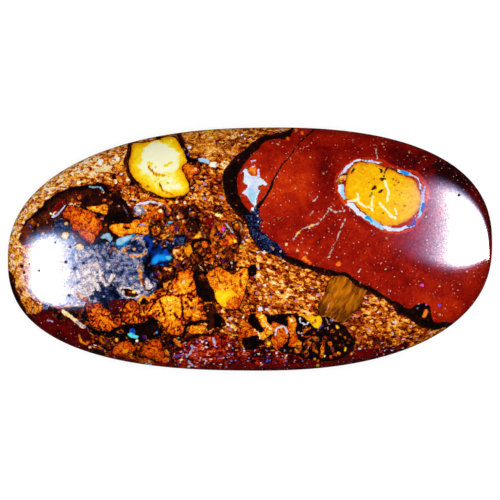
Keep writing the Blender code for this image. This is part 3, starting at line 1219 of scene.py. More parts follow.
@dataclass(frozen=True)
class BlueOpal(Feature):
    """The patches of blue precious opal left of the middle, and the navy potch that they lie in."""

    surround: Points = (
        (-9.9, 1.2), (-9.2, 1.3), (-8.6, 0.9), (-7.6, 1.0), (-6.7, 1.3), (-6.0, 1.1), (-6.2, 0.4),
        (-7.1, -0.1), (-7.2, -0.9), (-7.6, -1.3), (-8.4, -1.6), (-9.1, -1.7), (-8.9, -2.7), (-8.4, -3.1),
        (-9.3, -2.8), (-9.8, -2.0), (-9.9, -1.2), (-9.7, 0.0),
    )
    brightest: Points = (
        (-9.3, -1.2), (-8.8, -0.6), (-8.4, -0.5), (-8.1, -0.5), (-7.9, -0.1), (-7.6, -0.2), (-7.3, -0.9),
        (-8.3, -1.1), (-8.6, -1.3), (-9.3, -1.5),
    )
    bean: Points = (
        (-9.0, -2.0), (-8.6, -1.6), (-7.2, -1.6), (-7.0, -2.1), (-7.4, -2.7), (-8.1, -3.0), (-8.8, -2.7),
    )
    first: Points = (
        (-13.9, 1.1), (-13.6, 1.4), (-13.2, 1.5), (-13.0, 1.2), (-12.8, 1.1), (-12.9, 0.8), (-13.2, 0.8),
        (-13.5, 1.0),
    )
    second: Points = ((-12.5, 0.3), (-12.4, 0.9), (-11.2, 1.3), (-10.6, 1.4), (-11.5, 0.5), (-12.3, 0.3))

    def marks(self) -> Sequence[Patch]:
        """The navy potch, the loop of tan clay, then the opal."""
        loop = ((-11.3, 0.2), (-11.8, -0.1), (-11.2, -0.6), (-10.1, -0.5), (-9.7, -0.2), (-9.7, 0.0))
        return (
            Patch(POTCH, self.surround, -0.75, waver=2.0),
            Dots(POTCH, ((-10.7, 0.1, 0.75),), -0.45),
            Stroke(RUST, loop, 0.55, width=0.2),
            Stroke(RUST, ((-10.9, 0.9), (-10.5, 1.0), (-9.9, 0.5)), 0.55, width=0.15),
            Dots(CHALK, ((-10.8, 0.0, 0.14),), -0.3),
            Patch(OPAL, self.first, hue=Hue.ICE, tone=-0.1, edge=-0.6, depth=0.12),
            Patch(OPAL, self.second, hue=Hue.SKY, tone=-0.1, edge=-0.8, depth=0.12),
            Stroke(OPAL, ((-12.2, 0.7), (-11.2, 1.1)), -0.1, hue=Hue.ICE, width=0.24),
            Stroke(
                OPAL, ((-9.8, 1.1), (-9.4, 0.8), (-9.2, 0.4), (-9.3, -0.2)), -0.2, edge=-0.9, hue=Hue.BLUE,
                width=0.4,
            ),
            Dots(OPAL, ((-8.4, -0.7, 1.0),), -0.62, edge=-1.2, depth=0.5, hue=Hue.BLUE, waver=2.5),
            Patch(OPAL, self.brightest, hue=Hue.BLUE, tone=0.05, edge=-0.7, depth=0.2),
            Stroke(
                OPAL, ((-8.8, -1.1), (-8.5, -0.8), (-8.1, -0.8)), 0.15, edge=-0.3, hue=Hue.SKY, width=0.42
            ),
            Dots(OPAL, ((-7.5, -0.8, 0.12),), -0.25, hue=Hue.CYAN),
            Stroke(OCHRE, ((-9.1, 0.7), (-8.9, 0.8)), 0.0, width=0.12),
            Patch(RUST, self.bean, -0.22, edge=-0.6, depth=0.25, rim=0.06),
            Stroke(RUST, ((-8.0, -1.9), (-7.2, -1.9)), 0.62),
            Dots(RUST, ((-8.0, 0.5, 0.3), (-7.3, 0.9, 0.26)), 0.0, rim=0.08, waver=2.0),
            Dots(OPAL, ((-6.9, -1.5, 0.1), (-8.6, -2.3, 0.14)), -0.4, hue=Hue.VIOLET),
        )


@dataclass(frozen=True)
class BrainStones(Feature):
    """Three lobes of orange-gold limonite, folded and cracked like brain coral, along the lower left."""

    first: Points = (
        (-15.3, -5.3), (-14.8, -5.2), (-14.0, -5.1), (-13.7, -5.5), (-13.1, -5.8), (-13.0, -6.2),
        (-12.7, -6.5), (-12.1, -6.3), (-11.9, -6.6), (-12.1, -7.0), (-12.7, -7.3), (-13.3, -7.5),
        (-14.1, -7.3), (-14.7, -7.1), (-14.9, -6.7), (-15.0, -6.2), (-15.2, -5.8),
    )
    second: Points = (
        (-11.8, -5.9), (-11.6, -5.4), (-11.4, -5.0), (-11.0, -4.8), (-10.5, -5.0), (-10.3, -5.4),
        (-10.3, -5.9), (-10.1, -6.3), (-9.6, -6.4), (-9.4, -6.6), (-9.9, -6.7), (-10.6, -6.8), (-11.2, -6.9),
        (-11.6, -6.6), (-11.8, -6.3),
    )
    third: Points = (
        (-9.8, -5.5), (-9.4, -5.0), (-9.1, -4.7), (-8.8, -4.3), (-8.8, -3.9), (-8.3, -3.6), (-7.7, -3.7),
        (-7.4, -3.1), (-6.9, -2.6), (-6.7, -2.1), (-6.1, -1.9), (-5.4, -1.9), (-5.3, -2.9), (-5.0, -3.6),
        (-4.9, -4.3), (-4.3, -5.0), (-4.2, -5.6), (-4.0, -6.2), (-4.3, -6.7), (-5.3, -6.7), (-6.0, -6.6),
        (-6.1, -7.1), (-6.4, -7.8), (-7.2, -7.9), (-7.9, -7.5), (-8.2, -6.9), (-8.9, -6.4), (-9.4, -6.2),
    )
    cracks: Sequence[Points] = (
        ((-8.9, -5.0), (-8.7, -4.7), (-7.6, -4.3), (-6.5, -4.3), (-5.5, -4.1), (-5.1, -4.4)),
        ((-8.9, -5.0), (-9.3, -5.7)),
        ((-8.4, -4.9), (-8.0, -6.1)),
        ((-6.4, -4.5), (-6.3, -5.5), (-6.1, -6.6)),
        ((-7.0, -5.9), (-6.8, -6.3), (-6.0, -6.7)),
        ((-5.7, -4.4), (-5.4, -4.7)),
        ((-6.0, -4.9), (-5.7, -5.1)),
        ((-5.8, -5.3), (-5.4, -5.4)),
    )
    gaps: Sequence[Points] = (
        ((-3.9, -6.7), (-5.5, -7.0), (-6.0, -7.3), (-6.1, -7.9), (-6.4, -8.3)),
        ((-15.1, -7.2), (-14.4, -7.6), (-13.4, -7.7), (-12.0, -7.2)),
        ((-15.4, -5.5), (-15.2, -6.6)),
    )
    crack_width: float = 0.13
    fold_lengths: tuple[float, float] = (0.3, 0.75)
    fold_bend: float = 0.25

    def _folds(self, outline: Points, middle: tuple[float, float], seed: int) -> Sequence[Patch]:
        """Draws short dark folds that run in from a lobe's border.

        Args:
            outline: The lobe's border.
            middle: The place that the folds run towards.
            seed: Picks their lengths and bends.

        Returns:
            One stroke for every other short span of the border.
        """
        draw = np.random.default_rng(seed)
        folds = []
        for start in curve(outline, closed=True, parts=2)[::2]:
            inward = (middle - start) / np.hypot(*(middle - start))
            reach = draw.uniform(*self.fold_lengths)
            bend = draw.uniform(-self.fold_bend, self.fold_bend) * reach
            half = start + inward * reach / 2.0 + (-inward[1] * bend, inward[0] * bend)
            path = (tuple(start), tuple(half), tuple(start + inward * reach))
            folds.append(Stroke(LIMONITE, path, -0.7, width=0.1))
        return folds

    def marks(self) -> Sequence[Patch]:
        """The lobes, the bands between them and the big lobe's own cracks."""
        curl = ((-8.6, -3.8), (-8.1, -3.6), (-7.5, -3.7), (-7.0, -4.0), (-8.2, -4.0))
        return (
            Patch(LIMONITE, self.first, 0.14, edge=-0.2, depth=0.3, rim=0.12),
            Patch(LIMONITE, self.second, 0.12, edge=-0.25, depth=0.3, rim=0.14),
            *self._folds(self.first, (-13.8, -6.2), 1),
            *self._folds(self.second, (-10.9, -6.0), 2),
            Dots(RUST, ((-11.1, -5.3, 0.2),), -0.1),
            Dots(IRON, ((-10.0, -4.8, 0.3),), -0.3),
            Patch(LIMONITE, self.third, 0.47, edge=-0.12, depth=0.4, rim=0.14),
            *self._folds(self.third, (-6.9, -5.2), 3),
            Stroke(LIMONITE, ((-10.4, -4.9), (-10.0, -4.4), (-9.5, -4.6), (-8.9, -4.4)), 0.4, width=0.22),
            Patch(RUST, curl, 0.3, rim=0.08),
            *(Stroke(LIMONITE, crack, -0.85, width=self.crack_width) for crack in self.cracks),
            *(Stroke(IRON, line, -0.2, width=0.3) for line in self.gaps),
            Dots(IRON, ((-7.4, -5.7, 0.11), (-7.4, -6.1, 0.11), (-8.5, -5.8, 0.1), (-6.7, -7.5, 0.12)), 0.2),
            Dots(CHALK, ((-6.2, -3.1, 0.16),), 0.2),
            Dots(CHALK, ((-5.9, -5.5, 0.12), (-5.2, -5.4, 0.14)), -0.4),
        )

    def shades(self) -> Sequence[Shade]:
        """The big lobe is orange at its top, and brightest in its middle."""
        places = ((-5.7, -2.4, 0.5, 0.7, -0.3), (-7.3, -4.8, 1.0, 0.5, 0.25), (-7.0, -6.9, 1.0, 0.8, -0.12))
        return tuple(Shade(LIMONITE, *place) for place in places)


@dataclass(frozen=True)
class LowerLeft(Feature):
    """The burnt lower left: brown and black ironstone, a pale streak, a pocket with opal, and two curls."""

    burnt: Points = (
        (-20.6, -5.2), (-19.4, -5.3), (-17.8, -5.6), (-16.4, -5.6), (-15.3, -5.7), (-15.1, -6.6),
        (-14.6, -7.5), (-15.0, -8.4), (-15.2, -9.6), (-17.0, -9.2), (-18.8, -8.3), (-20.2, -7.0),
    )
    red_burnt: Points = (
        (-19.6, -5.9), (-18.2, -6.2), (-17.0, -6.6), (-15.6, -7.6), (-14.8, -8.2), (-14.6, -9.0),
        (-14.8, -9.9), (-17.0, -9.6), (-19.0, -8.6), (-20.3, -7.0),
    )
    pocket: Points = (
        (-11.9, -7.0), (-10.6, -7.0), (-9.3, -6.6), (-8.9, -6.5), (-8.5, -6.8), (-8.2, -7.9), (-9.5, -8.4),
        (-10.2, -8.7), (-11.0, -8.6), (-11.5, -8.2),
    )
    gap: Points = ((-14.8, -7.6), (-13.6, -7.8), (-12.7, -7.8), (-12.0, -7.9), (-11.7, -8.6), (-10.9, -8.9))
    chunk: Points = (
        (-14.3, -8.3), (-13.8, -8.0), (-13.2, -8.2), (-12.7, -8.1), (-12.6, -8.6), (-12.9, -9.1),
        (-13.4, -9.2),
    )
    cyan: Points = ((-11.4, -7.8), (-10.6, -8.0), (-10.5, -8.3), (-10.8, -8.3), (-11.2, -8.2))
    curl: Points = (
        (-12.3, -8.7), (-11.4, -8.6), (-10.7, -9.3), (-11.3, -9.9), (-12.0, -9.9), (-12.6, -9.7),
        (-12.8, -9.4),
    )
    lobe: Points = (
        (-10.0, -9.0), (-9.4, -8.7), (-8.9, -8.4), (-8.5, -8.5), (-8.1, -9.5), (-8.0, -10.1), (-8.3, -10.4),
        (-9.8, -9.9), (-10.1, -9.5),
    )
    streak: Points = ((-17.4, -5.8), (-15.5, -7.3))

    def marks(self) -> Sequence[Patch]:
        """The burnt ground first, then the bits in it from left to right."""
        ochre = ((-20.9, -5.3), (-20.3, -5.0), (-19.6, -5.1), (-19.4, -5.6), (-19.9, -6.0), (-20.6, -5.9))
        tongue = ((-5.6, -7.3), (-5.2, -7.1), (-4.1, -7.2), (-4.3, -7.6), (-4.6, -7.8), (-5.6, -7.7))
        return (
            Patch(RUST, self.burnt, -0.38, waver=3.0),
            Patch(JASPER, self.red_burnt, -0.52, waver=3.5),
            Patch(RUST, ochre, 0.5, waver=1.5),
            Dots(POTCH, ((-19.0, -5.4, 0.28),), 0.1),
            Stroke(IRON, ((-16.8, -5.8), (-16.2, -6.3)), -0.2, width=0.4),
            Stroke(CHALK, self.streak, 0.3, width=0.32),
            Stroke(POTCH, ((-16.1, -6.8), (-15.4, -7.3)), 0.4, width=0.26),
            Stroke(OPAL, ((-18.7, -6.7), (-18.3, -6.8)), -0.2, hue=Hue.LILAC, width=0.12),
            Stroke(LIMONITE, ((-15.9, -8.1), (-15.7, -8.6), (-15.3, -8.8), (-15.0, -8.6)), 0.0, width=0.2),
            Dots(CHALK, ((-14.9, -9.1, 0.14),), 0.5),
            Dots(CHALK, ((-14.6, -7.8, 0.18),), -0.6),
            Dots(OPAL, ((-13.6, -9.4, 0.13),), -0.2, hue=Hue.NAVY),
            Dots(OPAL, ((-13.9, -8.5, 0.12),), -0.1, hue=Hue.VIOLET),
            Stroke(IRON, self.gap, -0.3, width=0.5, waver=2.0),
            Patch(RUST, self.chunk, 0.1, edge=-0.2, rim=0.16),
            Patch(IRON, self.pocket, -0.15, waver=1.5),
            Dots(OPAL, ((-11.0, -7.6, 0.28),), -0.4, hue=Hue.BLUE),
            Patch(OPAL, self.cyan, 0.0, hue=Hue.CYAN),
            Dots(CHALK, ((-10.5, -8.5, 0.12),), 0.8),
            Dots(OPAL, ((-8.6, -7.7, 0.09), (-8.6, -7.8, 0.09)), hue=Hue.SKY),
            Dots(OPAL, ((-9.8, -8.2, 0.2),), -0.45, hue=Hue.VIOLET),
            Patch(RUST, ((-11.0, -9.3), (-10.3, -9.1), (-9.8, -9.4), (-9.9, -10.2), (-10.7, -10.3)), -0.05),
            Dots(LIMONITE, ((-12.4, -8.4, 0.15),), 1.0),
            Patch(LIMONITE, self.curl, -0.12, edge=-0.35, rim=0.1),
            Dots(OCHRE, ((-11.5, -9.5, 0.22),), 0.1),
            Patch(LIMONITE, self.lobe, -0.16, edge=-0.35, rim=0.1),
            Stroke(OPAL, ((-9.7, -10.6), (-9.1, -10.7)), -0.1, hue=Hue.ICE, width=0.12),
            Stroke(IRON, ((-8.0, -8.2), (-7.2, -10.6)), width=0.3, waver=2.0),
            Dots(LIMONITE, ((-7.8, -10.4, 0.26),), -0.1),
            Stroke(LIMONITE, ((-7.0, -8.4), (-6.5, -8.9)), 0.3, width=0.28),
            Patch(LIMONITE, tongue, 0.45, edge=0.1, rim=0.08),
        )


@dataclass(frozen=True)
class RustCentre(Feature):
    """The middle of the stone: rust and violet mud in curls, rings and balls, like marbled paper."""

    base: Points = (
        (-9.2, 3.0), (-8.2, 4.0), (-7.0, 4.2), (-6.0, 4.1), (-5.0, 4.1), (-4.0, 3.2), (-3.0, 2.9),
        (-2.0, 2.9), (-1.0, 2.7), (-0.5, 2.0), (-0.3, 1.2), (-0.9, 0.4), (-1.3, -1.0), (-1.2, -2.0),
        (-2.0, -2.3), (-4.0, -2.2), (-5.3, -2.0), (-7.0, -1.9), (-8.5, -1.6), (-9.2, -1.3), (-9.4, 0.0),
        (-9.3, 1.5),
    )
    fragment: Points = ((-6.1, 0.1), (-5.8, 0.1), (-5.6, 0.3), (-5.4, 0.3), (-5.3, -0.2), (-5.7, -0.8))
    orange: Points = (
        (-2.4, 1.0), (-2.1, 1.6), (-1.7, 1.4), (-1.4, 1.3), (-1.2, 1.0), (-1.2, 0.4), (-1.5, 0.1),
        (-1.9, 0.3), (-2.4, 0.3), (-2.9, 0.5), (-2.8, 0.9),
    )
    pocket: Points = (
        (-5.3, -2.0), (-4.0, -2.0), (-3.9, -2.7), (-3.3, -3.7), (-3.2, -4.2), (-3.4, -4.8), (-4.0, -4.9),
        (-4.6, -4.6), (-5.0, -4.0), (-5.1, -3.4), (-5.3, -2.9),
    )
    below: Points = (
        (-3.9, -5.0), (-3.2, -5.2), (-3.0, -5.9), (-2.5, -6.3), (-2.2, -6.9), (-2.6, -7.3), (-3.3, -7.4),
        (-4.0, -7.5), (-3.9, -6.5), (-4.1, -5.7),
    )

    balls: Sequence[tuple[float, float, float, float]] = (
        (-8.8, 1.7, 0.4, 0.1), (-5.3, 3.5, 0.55, -0.05), (-5.3, 2.3, 0.6, -0.25), (-2.6, -0.8, 0.65, -0.05),
        (-3.2, 0.2, 0.35, 0.15), (-1.1, 2.1, 0.4, 0.0), (-8.3, 2.4, 0.35, -0.1), (-3.3, -1.5, 0.3, 0.3),
        (-6.4, 3.2, 0.4, 0.3), (-2.9, 3.6, 0.3, 0.2), (-5.9, -1.4, 0.4, 0.1), (-7.6, 3.4, 0.35, 0.35),
    )

    def marks(self) -> Sequence[Patch]:
        """The marbled ground, then its pieces from left to right."""
        return (*self._left(), *self._middle(), *self._right())

    def _left(self) -> Sequence[Patch]:
        """The ground and the pieces on its left."""
        brown = ((-8.9, -1.4), (-8.0, -1.3), (-7.2, -1.4), (-7.0, -1.9), (-7.6, -2.2), (-8.6, -2.1))
        loop = (
            (-7.1, -0.5), (-6.9, -0.2), (-6.6, -0.2), (-6.2, -0.8), (-6.5, -0.9), (-6.9, -0.8), (-7.1, -0.6),
        )
        bean = ((-8.1, 1.5), (-7.7, 1.8), (-7.4, 1.5), (-7.5, 1.0), (-7.9, 0.9))
        return (
            Patch(RUST, self.base, 0.0, waver=2.0),
            *(Dots(RUST, (ball[:3],), ball[3], edge=ball[3] - 0.3, rim=0.17) for ball in self.balls),
            Patch(IRON, self.pocket, -0.1, waver=1.5),
            Patch(IRON, self.below, 0.2, waver=1.5),
            Stroke(OPAL, ((-7.6, 2.5), (-7.2, 2.5)), -0.25, hue=Hue.CYAN, width=0.14),
            Dots(OPAL, ((-7.7, 2.2, 0.09),), -0.3, hue=Hue.CYAN),
            Dots(LIMONITE, ((-7.2, 2.0, 0.24),), -0.1),
            Dots(OPAL, ((-6.9, 1.9, 0.16),), -0.3, hue=Hue.VIOLET),
            Stroke(LIMONITE, ((-6.6, 2.6), (-6.3, 2.4), (-5.9, 1.5)), -0.15, width=0.18),
            Dots(CHALK, ((-6.6, 2.9, 0.12), (-6.2, 2.6, 0.1), (-8.6, 1.9, 0.12)), 0.6),
            Patch(RUST, ((-9.1, 1.4), (-8.7, 1.3), (-8.5, 1.7), (-8.7, 2.1), (-9.1, 2.0)), 0.2),
            Patch(RUST, bean, 0.55, rim=0.08),
            Dots(CHALK, ((-6.7, 1.5, 0.12),), -0.5),
            Stroke(OCHRE, ((-7.0, 1.2), (-6.7, 0.7)), -0.05),
            Dots(OPAL, ((-7.0, 0.5, 0.32),), -0.35, hue=Hue.INDIGO),
            Dots(POTCH, ((-6.2, 0.9, 0.45),), -0.65),
            Patch(OCHRE, self.fragment, 0.1, edge=-0.2, rim=0.08),
            Stroke(RUST, loop, 0.75, width=0.18),
            Stroke(CHALK, ((-7.6, 0.0), (-7.4, 0.3)), -0.4, width=0.14),
            Dots(CHALK, ((-9.0, -0.4, 0.14), (-8.3, -0.3, 0.12)), -0.4),
            Patch(RUST, brown, 0.05),
            Stroke(OCHRE, ((-7.7, -1.9), (-7.2, -1.8)), -0.1, width=0.14),
            Dots(CHALK, ((-8.3, -1.7, 0.12),), -0.5),
            Stroke(IRON, ((-8.7, -2.5), (-8.4, -3.6)), -0.2, width=0.7, waver=2.0),
            Patch(RUST, ((-7.2, -2.4), (-6.8, -2.4), (-6.6, -2.7), (-6.8, -2.9), (-7.2, -2.8)), -0.3),
        )

    def _middle(self) -> Sequence[Patch]:
        """The swirls and the small nodule in the middle."""
        leaf = ((-5.2, 1.0), (-5.0, 1.4), (-4.7, 1.6), (-4.6, 1.3), (-4.8, 1.1))
        ring = (
            (-4.9, 0.9), (-4.1, 0.9), (-3.6, 0.4), (-3.8, -0.3), (-4.5, -0.6), (-5.1, -0.2), (-5.3, 0.4),
            (-4.9, 0.9),
        )
        return (
            Stroke(IRON, ((-5.4, 2.4), (-5.2, 1.8)), 0.15, width=0.6),
            Patch(LIMONITE, leaf, 0.3, edge=0.5),
            Stroke(CHALK, ((-4.6, 2.0), (-4.1, 1.0)), -0.5),
            Stroke(IRON, ring, -0.1, width=0.32, waver=1.5),
            Dots(LIMONITE, ((-4.3, 0.5, 0.28),), -0.1),
            Dots(RUST, ((-4.5, -0.2, 0.3),), 0.2),
            Stroke(IRON, ((-5.0, -1.3), (-4.1, -1.9)), -0.1, width=0.36),
            Stroke(CHALK, ((-4.8, -1.4), (-4.4, -1.9)), -0.45, width=0.14),
            Stroke(LIMONITE, ((-4.2, -1.1), (-3.8, -1.3)), -0.1, width=0.2),
            Stroke(LIMONITE, ((-3.9, -0.5), (-3.6, -0.9), (-3.6, -1.3)), -0.2, width=0.3),
            Dots(RUST, ((-3.8, -0.9, 0.12),), -0.6),
            Dots(JASPER, ((-3.7, 2.3, 0.55),), -0.15, waver=2.5),
            Dots(LIMONITE, ((-2.6, 1.9, 0.38),), -0.15),
            Dots(OPAL, ((-2.5, 1.9, 0.17),), -0.2, hue=Hue.PINK),
            Stroke(OPAL, ((-3.1, 1.4), (-2.5, 1.5)), -0.25, hue=Hue.VIOLET, width=0.14),
            Stroke(CHALK, ((-2.6, 1.2), (-2.2, 1.8)), -0.5, width=0.13),
            Stroke(OPAL, ((-2.2, 2.4), (-1.8, 1.8), (-1.5, 1.5)), -0.1, hue=Hue.ICE, width=0.15),
            Dots(RUST, ((-4.4, -2.6, 0.33),), 0.1),
            Stroke(LIMONITE, ((-3.5, 1.0), (-3.4, 0.5), (-3.6, 0.1), (-3.3, -0.3)), -0.2, width=0.3),
        )

    def _right(self) -> Sequence[Patch]:
        """The pieces against the black band."""
        arc = ((-1.5, 2.4), (-1.1, 2.5), (-0.8, 2.3), (-0.7, 1.9), (-0.8, 1.7))
        return (
            Patch(LIMONITE, self.orange, 0.0, edge=-0.3, rim=0.08),
            Dots(OCHRE, ((-1.4, 0.8, 0.14), (-3.1, 3.1, 0.14), (-2.8, 3.1, 0.12)), 0.8),
            Dots(OCHRE, ((-1.6, 0.4, 0.1),), -0.6),
            Dots(OPAL, ((-0.9, 0.3, 0.16),), 0.0, hue=Hue.LIME),
            Dots(LIMONITE, ((-1.1, 2.2, 0.16),), -0.1),
            Stroke(CHALK, arc, -0.45, width=0.14),
            Stroke(LIMONITE, ((-2.9, 2.8), (-2.0, 2.8)), -0.1, width=0.17),
            Stroke(IRON, ((-1.8, 3.0), (-1.3, 2.9), (-0.7, 2.5)), width=0.15),
            Stroke(LIMONITE, ((-1.7, 3.1), (-1.2, 3.0), (-0.5, 2.5)), -0.15, width=0.17),
            Dots(CHALK, ((0.0, 1.3, 0.18),), -0.4),
            Dots(OPAL, ((-0.3, 1.1, 0.12),), -0.3, hue=Hue.INDIGO),
            Dots(RUST, ((-2.5, -0.6, 0.75),), 0.1, waver=2.5),
            Dots(OPAL, ((-2.5, -1.1, 0.12),), -0.3, hue=Hue.VIOLET),
            Dots(RUST, ((-1.5, -1.5, 0.45),), -0.5, waver=2.5),
            Stroke(IRON, ((-3.0, -6.3), (-3.0, -7.0)), -0.4, width=0.6),
            Dots(
                CHALK, ((-2.6, -5.7, 0.13), (-1.7, -7.2, 0.13), (-1.3, -7.5, 0.12), (-0.6, -6.4, 0.13)), 0.3
            ),
        )


@dataclass(frozen=True)
class GoldCentre(Feature):
    """The orange and gold patch low in the middle, with a yellow fan in it and a black bead at its right."""

    outline: Points = (
        (-4.0, -2.3), (-3.5, -1.9), (-2.9, -1.7), (-2.4, -1.9), (-2.0, -2.2), (-1.5, -2.4), (-0.7, -1.8),
        (-0.2, -1.9), (-0.1, -2.6), (-0.9, -5.1), (-1.4, -5.5), (-2.2, -5.4), (-3.0, -4.9), (-3.2, -4.2),
        (-3.7, -3.0),
    )
    fan: Points = (
        (-3.2, -4.0), (-2.9, -3.8), (-2.4, -3.9), (-1.9, -3.9), (-1.5, -4.0), (-1.5, -4.4), (-1.9, -4.6),
        (-2.2, -4.9), (-2.3, -5.2), (-2.7, -5.2), (-3.2, -4.4),
    )
    bead: Points = (
        (-0.1, -1.8), (0.1, -1.5), (0.5, -1.4), (0.6, -2.1), (0.4, -2.5), (0.1, -2.6), (-0.1, -2.4),
    )

    def marks(self) -> Sequence[Patch]:
        """The patch, the fan, the lines in it and the bead."""
        line = ((-3.6, -2.5), (-3.1, -2.4), (-2.8, -3.0), (-2.4, -3.1))
        return (
            Patch(LIMONITE, self.outline, 0.34, edge=0.05, rim=0.1),
            Patch(OCHRE, self.fan, 0.58, edge=0.3),
            Stroke(RUST, line, 0.0, width=0.13),
            Dots(JASPER, ((-0.8, -2.4, 0.16),), -0.3),
            Stroke(RUST, ((-0.9, -3.0), (-0.8, -3.6)), -0.1, width=0.13),
            Patch(IRON, self.bead, -0.3),
            Dots(OPAL, ((0.8, -1.7, 0.12),), hue=Hue.LILAC),
            Stroke(OPAL, ((1.1, -0.3), (1.5, -0.5)), hue=Hue.MILK, width=0.12),
            Dots(CHALK, ((3.3, -1.1, 0.11),), 0.9),
            Dots(OPAL, ((3.6, -1.2, 0.1),), hue=Hue.SKY),
        )

    def shades(self) -> Sequence[Shade]:
        """Orange at the top left, gold at the right and orange-red at the foot."""
        places = ((-3.2, -2.3, 0.9, 0.6, -0.2), (-0.6, -2.7, 0.6, 1.0, 0.15), (-1.3, -5.0, 0.8, 0.6, -0.35))
        return tuple(Shade(LIMONITE, *place) for place in places)


